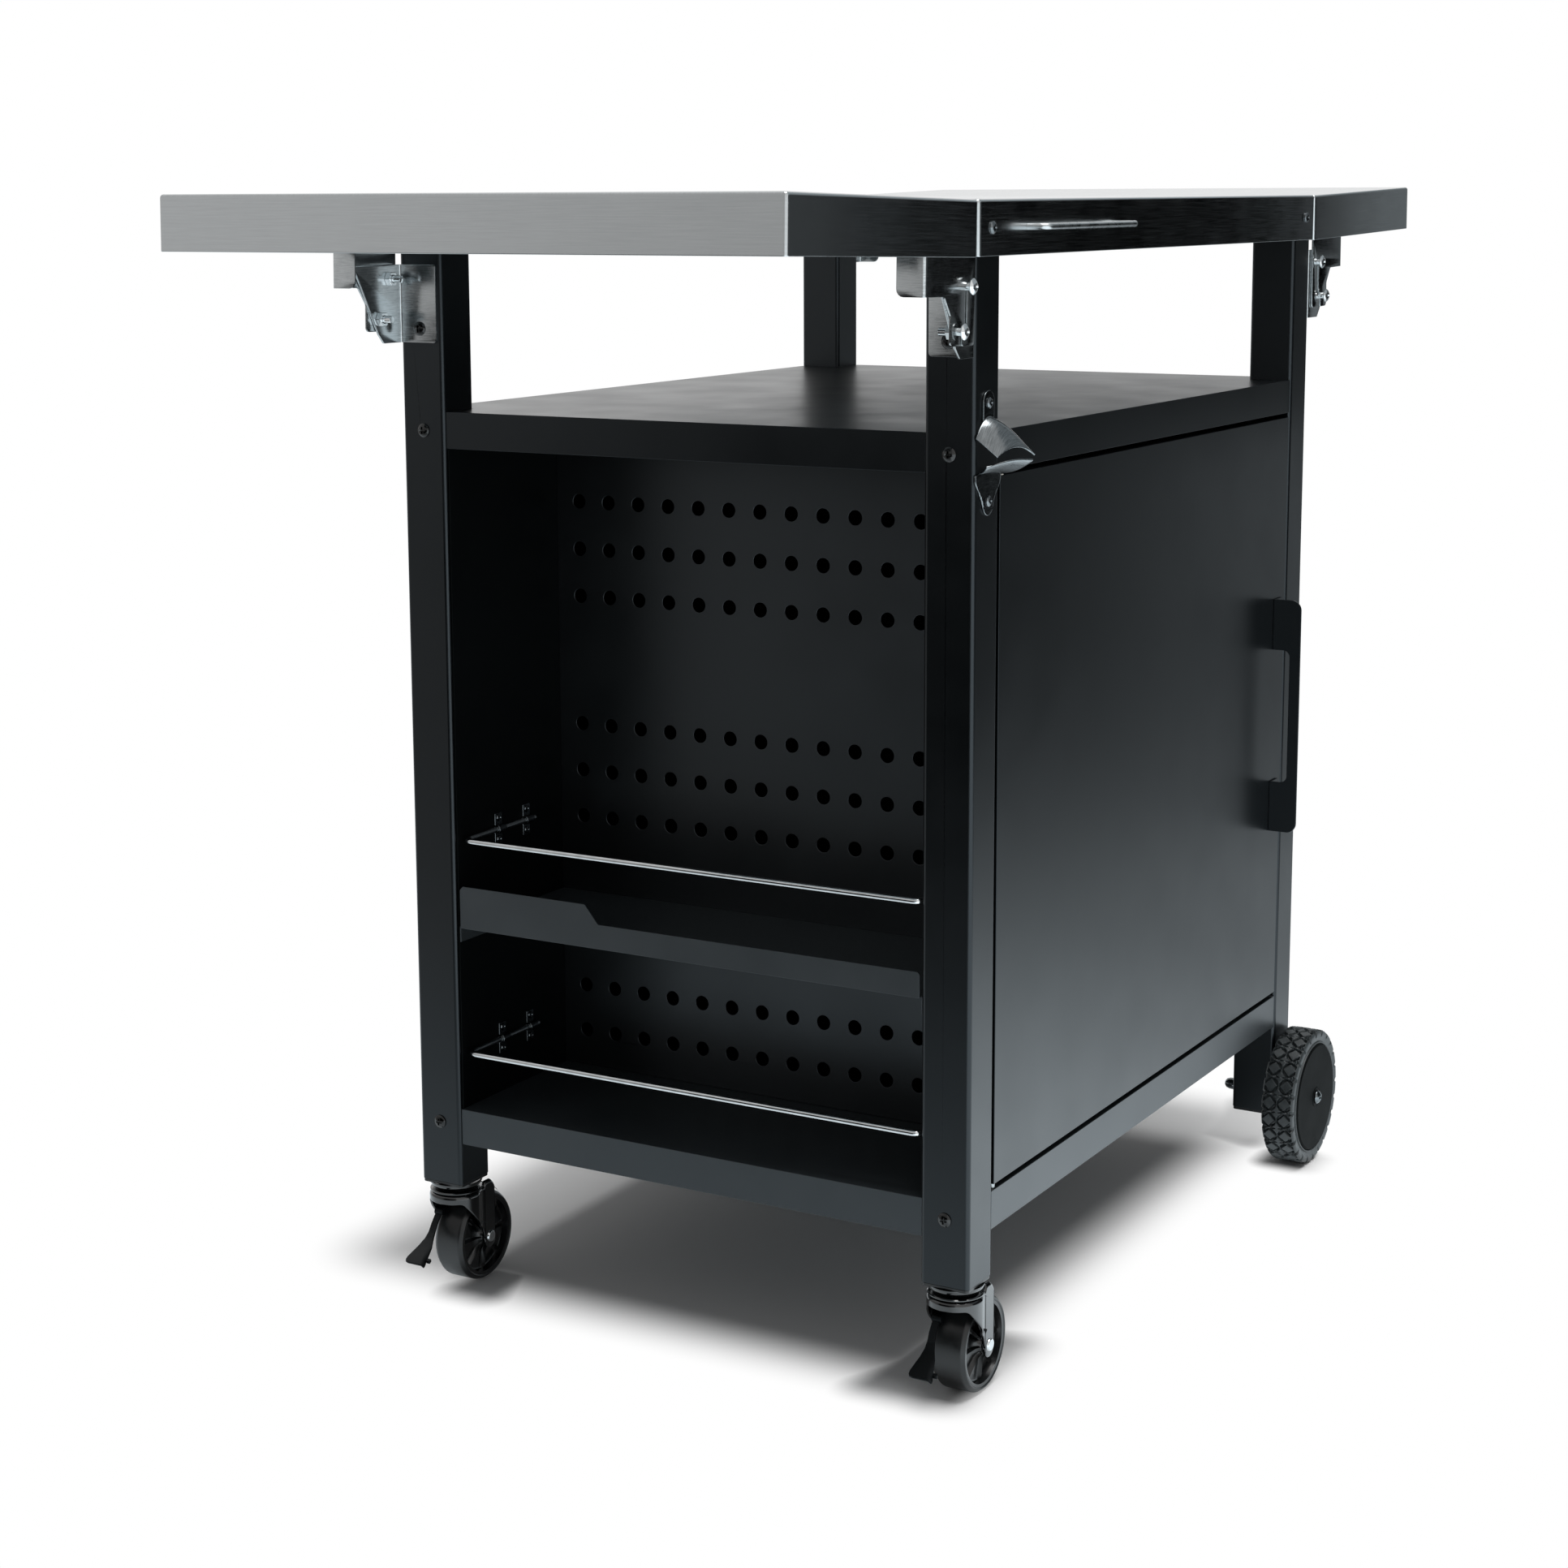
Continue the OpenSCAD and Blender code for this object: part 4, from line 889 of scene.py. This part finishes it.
def makeCasterWheel(place, tag):
    # two dished faces with a bore and a rim between them, then the tyre, all about the axle
    axle = (place[0] + caster["trail"], place[1], caster["radius"])
    radius, half, band, bore = caster["radius"], caster["width"] / 2, caster["band"], caster["bore"]
    face = sheetOf(wheelFace(), closed=True)
    turn = facing((0, 1, 0))
    parts = [moved(face, axle, facing((0, out, 0))) for out in (-1, 1)]
    for edge, depth in ((bore, half - 0.6), (band, half - 0.9)):
        parts.append(moved(lathe([(edge, -depth), (edge, depth)], 160, False), axle, turn))
    buildPiece("caster_wheel_ribbed_" + tag, parts, "caster_roll_" + tag, "glossPlastic",
               ["caster_wheel_" + tag], sharp=50, weld=0.05)
    band += 0.1
    section = roundedPath([(band, -half + 0.9), (radius - 2.6, -half), (radius, -half + 3.4),
                           (radius, half - 3.4), (radius - 2.6, half), (band, half - 0.9)],
                          [0, 1.0, 3.0, 3.0, 1.0, 0], closed=False, steps=5, guard=0.2)
    tyre = lathe(np.concatenate([section, section[:1]]), 128, False)
    buildPiece("caster_tyre_moulded_" + tag, [moved(tyre, axle, turn)], "caster_roll_" + tag, "casterTyre",
               ["caster_tyre_" + tag], sharp=60)


def makePedal(place, tag):
    # a pressed foot on a neck at the far side of the tyre: each row is x from its pivot, its height, then
    # its far and near edges from the wheel's middle plane
    rows = np.array([(7.0, 66.5, 14.2, 8), (2.0, 65.5, 14.2, 8), (-2.5, 61.5, 14, 8),
                     (-8.5, 55.5, 13.5, 7.5), (-14.5, 50.5, 12, 5.5), (-21, 47.2, 11, 2.5),
                     (-30, 44.2, 10.5, -2.5), (-39, 41.6, 10.5, -6), (-46, 39.7, 10.4, -8.5),
                     (-49.5, 38.7, 9.6, -10.2), (-51.5, 38.1, 8.2, -10.8), (-52.4, 37.8, 5.5, -10.4)])
    along = np.linspace(0, len(rows) - 1, 45)
    x, z, far, near = (np.interp(along, np.arange(len(rows)), column)[:, None] for column in rows.T)
    share = np.linspace(0, 1, 13)
    roll = caster["pedalRoll"] * np.clip(share * 6 - 5, 0, 1) * np.clip((along[:, None] - 6) / 2, 0, 1)
    grid = np.stack([np.repeat(x, 13, 1), far + (near - far) * share, z - roll], -1)
    body, x = "pedal_" + tag, place[0] + caster["pedalX"]
    pedal = buildPiece("caster_pedal_pressed_" + tag, [moved(sheetOf(grid), (x, place[1], 0))], body,
                       "innerCoatPaintedShade", ["caster_pedal_" + tag], sharp=60)
    addWall(pedal, caster["pedalSheet"])
    toe = roundedPath([(-46, -8.6), (-41.5, -7), (-41.5, -10.4), (-46, -12.2)], 0.5, steps=2)
    barrel = lathe([(1.6, 6.6), (3.0, 6.8), (3.0, 14.6), (1.6, 14.8)], 32)
    small = [moved(plateSheet(toe, caster["hook"]), (x, place[1], caster["hookZ"])),
             moved(barrel, (x, place[1], caster["pedalZ"]), facing((0, 1, 0)))]
    buildPiece("caster_pedal_barrel_" + tag, small, body, "innerCoatPaintedShade", bevel=0.2)


for side, tag in frontAndBack:
    for makePart in (makeCasterHead, makeCasterFork, makeCasterWheel, makePedal):
        makePart((caster["legX"], side * caster["legY"], 0), tag)
print("casters made")


# Large wheels: block-tread tyre on a disc hub

wheel = {
    "radius": 62.5, "rim": 49.8,
    "inner": 3.2, "outer": 34.2,             # the tyre's sides, out from the leg's face
    "pitches": 24,                           # diamonds in each row round the tyre
    "rows": 50, "columns": 26,               # grid rows over the crown, grid columns in each pitch
    "blockWall": 0.6,                        # how much the blocks' walls lean
    "block": 6.3,                            # half diagonal of the tread's diamonds
    "column": 7.4,                           # the two rows of diamonds, out from the middle
    "pit": 7.0, "pitDeep": 3.0,              # radius and depth of the round pits round the diamonds
    "zigzagDeep": 1.5, "notchDeep": 3.2,
    "head": {"radius": 6.3, "height": 4.6, "shank": 2.95, "length": 35.5},
    "headOut": 1.3,                          # from the tyre's outer side
}


def treadSheet():
    # across the tyre: bead, side wall, shoulder, tread, and back; the tread's radius is a function of
    # angle and width: two columns of diamonds in round pits, with a zigzag groove between the rows
    middle = (wheel["inner"] + wheel["outer"]) / 2
    half = (wheel["outer"] - wheel["inner"]) / 2
    radius, rim, column = wheel["radius"], wheel["rim"], wheel["column"]
    bead = np.array([(0, 1.5), (0.6, 0.4), (1.2, 0.1), (1.9, 0.3), (2.4, 1.3), (3.2, 1.1)])
    shoulder = np.array([(-6.5, 0.6), (-5.2, 0.4), (-3.6, 0.4), (-2.2, 0.7), (-1.2, 1.3), (-0.7, 2.0)])
    side = np.concatenate([bead + (rim, -half), shoulder + (radius, -half)])
    crown = np.linspace(-half + 2.8, half - 2.8, wheel["rows"])
    rows = np.concatenate([side, np.column_stack([radius - 0.35 * (crown / half) ** 4, crown]),
                           side[::-1] * (1, -1)])
    columns = wheel["pitches"] * wheel["columns"]
    angle = np.arange(columns) * 2 * np.pi / columns
    pitch = 2 * np.pi * radius / wheel["pitches"]
    phase = (angle * wheel["pitches"] / (2 * np.pi)) % 1
    along = (phase - 0.5)[None, :] * pitch                      # 0 at a diamond's middle
    height, across = rows[:, :1], rows[:, 1:]
    nearest = abs(abs(across) - column)
    beyond = np.clip((nearest + abs(along) - wheel["block"]) / wheel["blockWall"] + 0.5, 0, 1)
    pit = beyond * np.clip((wheel["pit"] - np.hypot(nearest, along)) / wheel["blockWall"] + 0.5, 0, 1)
    sway = column / 2 - abs(abs(across) % (2 * column) - column)
    between = abs(along) - pitch / 2                            # 0 halfway between two diamonds
    away = abs(between + np.clip(0.42 * sway + 0.4, -1.1, 1.6))
    zigzag = 1 - np.clip(away / 0.7 - 0.4, 0, 1)
    notch = 1 - np.clip(abs(between) / 1.2 - 1.0, 0, 1)
    cutting = np.maximum.reduce([pit * wheel["pitDeep"] * (abs(across) < half - 2.6),
                                 zigzag * wheel["zigzagDeep"] * (abs(across) < half - 3.4),
                                 notch * wheel["notchDeep"] * (abs(across) > half - 4.0)])
    onTread = np.clip((height - (radius - 5.6)) / 1.8, 0, 1)
    turned = height - cutting * onTread
    outward = np.repeat(across + middle, columns, 1)
    grid = np.stack([turned * np.cos(angle), turned * np.sin(angle), outward], -1)
    return sheetOf(grid, closed=True, looped=True)


def makeLargeWheels():
    tread = treadSheet()
    head = moved(screwHead(**wheel["head"]), (0, 0, wheel["outer"] + wheel["headOut"]))
    nutEnd = lathe([(0.4, -54.4), (2.6, -54.0), (4.3, -52.4), (5.2, -49.6), (5.4, -46.0), (5.4, -40.2),
                    (2.9, -40.2), (2.9, -30)], 32)
    for side, tag in frontAndBack:
        centre = (cart["halfX"] - cart["leg"] / 2, side * cart["halfY"], wheel["radius"])
        turn = facing((0, side, 0))
        buildPiece("wheel_tyre_treaded_" + tag, [moved(tread, centre, turn)], "large_wheel_" + tag, "rubber",
                   ["wheel_tyre_" + tag], sharp=38)
        buildPiece("wheel_bolt_domed_" + tag, [moved(part, centre, turn) for part in (head, nutEnd)], "cart",
                   "chromePaintedShade", ["wheel_bolt_" + tag], sharp=40)


makeLargeWheels()
print("large wheels made")


# CAD nodes that keep their shape

cadFinishes = {
    "powderCoat": ["leg_front_left", "leg_back_left", "leg_front_right", "leg_back_right", "upper_deck",
                   "back_panel", "right_panel", "door_liner", "door_panel", "door_handle", "catch_magnet"],
    "pegCoat": ["partition"],
    # painted shade: the rack's inner walls take the darkened coat
    "innerCoatPaintedShade": ["niche_wall_front", "niche_wall_back"],
    # painted light: the shelf and the bottom deck take the lightened coat
    "shelfCoatPaintedLight": ["mid_shelf", "bottom_deck"],
    "plastic": ["leg_caps"],
    "hubPlastic": ["wheel_hub_f", "wheel_hub_b"],
    "chrome": ["bright_nuts", "stop_pins", "caster_axle_f", "caster_axle_b"],
    # painted shade: the rods' saddles take the darkened chrome
    "chromePaintedShade": ["rod_clips"],
    "blackZinc": ["door_screws"],
    "zinc": ["door_pins"],
    "nylon": ["door_bushes"],
}


def finishNode(node, material):
    # a CAD node keeps its mesh: its loose triangles are welded, its edges rounded and its finish set
    if "custom_normal" in node.data.attributes:
        node.data.attributes.remove(node.data.attributes["custom_normal"])
    node.data.polygons.foreach_set("use_smooth", np.ones(len(node.data.polygons), bool))
    weld = node.modifiers.new("weld", "WELD")
    weld.merge_threshold = 0.01 * mm
    flat = node.modifiers.new("flat", "DECIMATE")
    flat.decimate_type = "DISSOLVE"
    flat.angle_limit = np.radians(0.4)
    addBevel(node, 0.45)
    shade = node.modifiers.new("shade", "WEIGHTED_NORMAL")
    shade.mode = "FACE_AREA"
    shade.use_face_influence = True
    shade.keep_sharp = True
    node.data.materials.clear()
    node.data.materials.append(material)


for finish, names in cadFinishes.items():
    for name in names:
        finishNode(nodes[name], materials[finish])
print("CAD nodes finished")


# Stage: pale floor, soft light, dark and grey cards that only reflections see

studio = {
    "floorHalf": 30.0,        # metres from here on
    "floorZ": -0.0003,
    "floorColour": "#f9f9f9",
    "domeLevel": 0.2,
    "sunLevel": 2.2,
    "sunAngle": 35,           # degrees, as its tilt
    "sunTilt": (8, 4, 0),
    # the floor takes shadow inside these boxes (middle, half size, fade) and fades to white around them
    "shadows": [((0.06, 0.08), (0.33, 0.23), 0.10), ((0.4, -0.19), (0.05, 0.02), 0.04),
                ((0.315, -0.266), (0.012, 0.014), 0.03), ((0.31, 0.262), (0.045, 0.02), 0.05),
                ((-0.27, -0.197), (0.06, 0.03), 0.045), ((-0.305, 0.208), (0.02, 0.01), 0.045)],
    # brightness of the floor in reflections: past doorLine, before the door, it falls along x; elsewhere it
    # falls outwards before the rack
    "doorLine": (-0.25, -0.4),
    "doorSide": [(0.1, 2.25), (1.0, 0.72)],
    "rackSide": [(-0.6, 1.15), (-1.1, 0.45)],
    "coolCast": (0.86, 0.95, 1.0),
    "cardAway": 1.3,
}


def seenRays(tree):
    # the light path node, and a 1 for camera, mirror and transmission rays
    rays = addNode(tree, "LightPath")
    seen = addNode(tree, "Math", links={0: (rays, "Is Camera Ray"), 1: (rays, "Is Glossy Ray")},
                   operation="ADD")
    seen = addNode(tree, "Math", links={0: (seen, 0), 1: (rays, "Is Transmission Ray")}, operation="ADD",
                   use_clamp=True)
    return rays, seen


def shadowFade(tree, place):
    # 0 in the nearest shadow box, 1 outside: its distance is the length of max(|p - middle| - half, 0)
    fade = None
    for middle, half, width in studio["shadows"]:
        away = addNode(tree, "VectorMath", {1: (*middle, 0)}, {0: place}, operation="SUBTRACT")
        away = addNode(tree, "VectorMath", links={0: (away, 0)}, operation="ABSOLUTE")
        away = addNode(tree, "VectorMath", {1: (*half, 1)}, {0: (away, 0)}, operation="SUBTRACT")
        away = addNode(tree, "VectorMath", {1: (0, 0, 0)}, {0: (away, 0)}, operation="MAXIMUM")
        away = addNode(tree, "VectorMath", links={0: (away, 0)}, operation="LENGTH")
        part = addNode(tree, "MapRange", {"From Min": 0.0, "From Max": width}, {"Value": (away, "Value")},
                       interpolation_type="SMOOTHSTEP")
        if fade:
            part = addNode(tree, "Math", links={0: (fade, 0), 1: (part, 0)}, operation="MINIMUM")
        fade = part
    return fade


def flatFace(name, corners, material):
    mesh = bpy.data.meshes.new(name)
    mesh.from_pydata(corners, [], [(0, 1, 2, 3)])
    mesh.materials.append(material)
    return addObject(name, mesh)


def makeFloor():
    # diffuse floor that keeps the shadow; further out it fades to plain white for camera and mirror rays
    material = bpy.data.materials.new("studio_floor")
    tree = newTree(material)
    place = (addNode(tree, "TexCoord"), "Object")
    split = addNode(tree, "SeparateXYZ", links={"Vector": place})
    fade = shadowFade(tree, place)
    rays, seen = seenRays(tree)
    factor = addNode(tree, "Math", links={0: (fade, 0), 1: (seen, 0)}, operation="MULTIPLY")
    matt = addNode(tree, "BsdfDiffuse", {"Color": linear(studio["floorColour"])})
    levels = []
    for (start, first), (end, last) in (studio["rackSide"], studio["doorSide"]):
        levels.append(addNode(tree, "MapRange", {"From Min": start, "From Max": end, "To Min": first,
                                                 "To Max": last}, {"Value": (split, "X")}))
    start, end = studio["doorLine"]
    before = addNode(tree, "MapRange", {"From Min": start, "From Max": end}, {"Value": (split, "Y")})
    level = addNode(tree, "Mix", links={"Factor": (before, 0), "A": (levels[0], 0), "B": (levels[1], 0)})
    white = addNode(tree, "Emission", {"Color": (1, 1, 1, 1), "Strength": 1.0})
    glare = addNode(tree, "Emission", {"Color": (*studio["coolCast"], 1)}, {"Strength": (level, "Result")})
    white = addNode(tree, "MixShader", links={0: (rays, "Is Glossy Ray"), 1: (white, 0), 2: (glare, 0)})
    mix = addNode(tree, "MixShader", links={0: (factor, 0), 1: (matt, 0), 2: (white, 0)})
    addNode(tree, "OutputMaterial", links={"Surface": (mix, 0)})
    half = studio["floorHalf"]
    corners = [(x, y, studio["floorZ"]) for x, y in boxOutline(-half, half, -half, half)]
    floor = flatFace("floor", corners, material)


def makeWorld():
    # white to the camera and in reflections, a plain dome for diffuse light
    world = bpy.data.worlds.new("studio")
    bpy.context.scene.world = world
    tree = newTree(world)
    seen = seenRays(tree)[1]
    dome, white = (addNode(tree, "Background", {"Color": (1, 1, 1, 1), "Strength": level})
                   for level in (studio["domeLevel"], 1.0))
    mix = addNode(tree, "MixShader", links={0: (seen, 0), 1: (dome, 0), 2: (white, 0)})
    addNode(tree, "OutputWorld", links={"Surface": (mix, 0)})


def makeCard(name, heading, across, rise, levels, glow=((0.0, 0.0), (3.0, 0.0)), cast=(1, 1, 1)):
    # an upright card that only mirror rays see, square to its heading from the cart; its brightness is the
    # sum of a run across it and a glow above its foot, both as (metres, level) stops
    material = bpy.data.materials.new(name)
    tree = newTree(material)
    split = addNode(tree, "SeparateXYZ", links={"Vector": (addNode(tree, "UVMap", uv_map="metres"), "UV")})
    sums = []
    for axis, stops in (("X", levels), ("Y", glow)):
        low, high = stops[0][0], stops[-1][0]
        place = addNode(tree, "MapRange", {"From Min": low, "From Max": high}, {"Value": (split, axis)})
        # written at half level, which leaves room above white; the strength of 2 makes up for it
        sums.append(addNode(tree, "ValToRGB", links={"Fac": (place, "Result")}, stops=[
            ((at - low) / (high - low), (level / 2, level / 2, level / 2, 1)) for at, level in stops]))
    total = addNode(tree, "VectorMath", links={0: (sums[0], 0), 1: (sums[1], 0)}, operation="ADD")
    total = addNode(tree, "VectorMath", {1: cast}, {0: (total, "Vector")}, operation="MULTIPLY")
    light = addNode(tree, "Emission", {"Strength": 2.0}, {"Color": (total, "Vector")})
    addNode(tree, "OutputMaterial", links={"Surface": (light, 0)})
    turn = np.radians(heading)
    ahead, side = np.array([np.cos(turn), np.sin(turn)]), np.array([-np.sin(turn), np.cos(turn)])
    metres = boxOutline(*across, *rise)
    corners = [(*(ahead * studio["cardAway"] + side * reach), height) for reach, height in metres]
    card = flatFace(name, corners, material)
    card.data.uv_layers.new(name="metres").data.foreach_set("uv", np.ravel(metres).astype(np.float32))
    card.visible_camera = False
    card.visible_diffuse = False
    card.visible_shadow = False
    card.visible_transmission = False


def makeSun():
    sun = bpy.data.lights.new("overhead", "SUN")
    sun.energy = studio["sunLevel"]
    sun.angle = np.radians(studio["sunAngle"])
    lamp = addObject("overhead", sun)
    lamp.rotation_euler = np.radians(studio["sunTilt"])


# a mirror ray off the door side goes to the front right, off the niche side to the back left
doorWay = {"heading": -30.5, "cast": studio["coolCast"]}
rackWay = {"heading": 149.5, "across": (-1.8, 1.9)}
cards = {
    "dark_card_right": {
        **doorWay, "across": (-2.4, 2.4), "rise": (0.0, 0.62),
        "levels": [(-1.2, 0.05), (-0.5, 0.02), (-0.3, 0.0), (-0.18, 0.04), (-0.08, 0.22), (0.1, 0.36)],
        "glow": [(0.0, 0.62), (0.04, 0.5), (0.09, 0.3), (0.15, 0.15), (0.22, 0.07), (0.32, 0.0)]},
    "dark_card_right_upper": {
        **doorWay, "across": (-2.4, 0.6), "rise": (0.62, 3.0),
        "levels": [(-1.2, 0.1), (-0.5, 0.09), (-0.42, 0.04), (-0.34, 0.0), (0.14, 0.0), (0.17, 0.22),
                   (0.6, 0.24)],
        "glow": [(0.62, 0.0), (1.1, 0.0), (1.4, 0.4)]},
    "dark_card_right_far": {
        **doorWay, "across": (0.6, 2.4), "rise": (0.62, 0.85), "levels": [(0.6, 0.2), (2.4, 0.2)]},
    "dark_card_left": {
        **rackWay, "rise": (0.0, 0.75),
        "levels": [(-0.1, 0.45), (0.02, 0.36), (0.12, 0.2), (0.2, 0.04), (0.28, 0.0)],
        "glow": [(0.0, 0.4), (0.05, 0.16), (0.1, 0.04), (0.16, 0.0)]},
    "grey_card_left": {
        **rackWay, "rise": (0.75, 3.0),
        "levels": [(-0.02, 0.705), (0.12, 0.69), (0.27, 0.65), (0.42, 0.6), (0.52, 0.575)]},
}


makeFloor()
makeWorld()
makeSun()
for name, values in cards.items():
    makeCard(name, **values)
print("stage made")


# Camera at the photograph's viewing angle

view = {
    "place": (-2.1593, -1.1349, 0.9015),
    "azimuth": -59.470,
    "elevation": 9.497,
    "roll": -0.321,
    "focal": 3519.7,            # in pixels of the frame
    "frame": 1932,
    "centre": (919.98, 823.66),
    "sensor": 36,
}


def makeCamera():
    azimuth, elevation, roll = (np.radians(view[key]) for key in ("azimuth", "elevation", "roll"))
    back = np.array([np.sin(azimuth) * np.cos(elevation), -np.cos(azimuth) * np.cos(elevation),
                     np.sin(elevation)])
    right = np.cross((0, 0, 1), back)
    right /= np.linalg.norm(right)
    up = np.cross(back, right)
    x = np.cos(roll) * right + np.sin(roll) * up
    y = -np.sin(roll) * right + np.cos(roll) * up
    data = bpy.data.cameras.new("camera")
    data.sensor_fit = "HORIZONTAL"
    data.sensor_width = view["sensor"]
    data.lens = view["focal"] * view["sensor"] / view["frame"]
    data.shift_x = (view["frame"] / 2 - view["centre"][0]) / view["frame"]
    data.shift_y = (view["centre"][1] - view["frame"] / 2) / view["frame"]
    data.clip_end = 200
    camera = addObject("camera", data)
    camera.matrix_world = Matrix((*zip(x, y, back, view["place"]), (0, 0, 0, 1)))
    bpy.context.scene.camera = camera


makeCamera()
bpy.context.scene.view_settings.view_transform = "Standard"
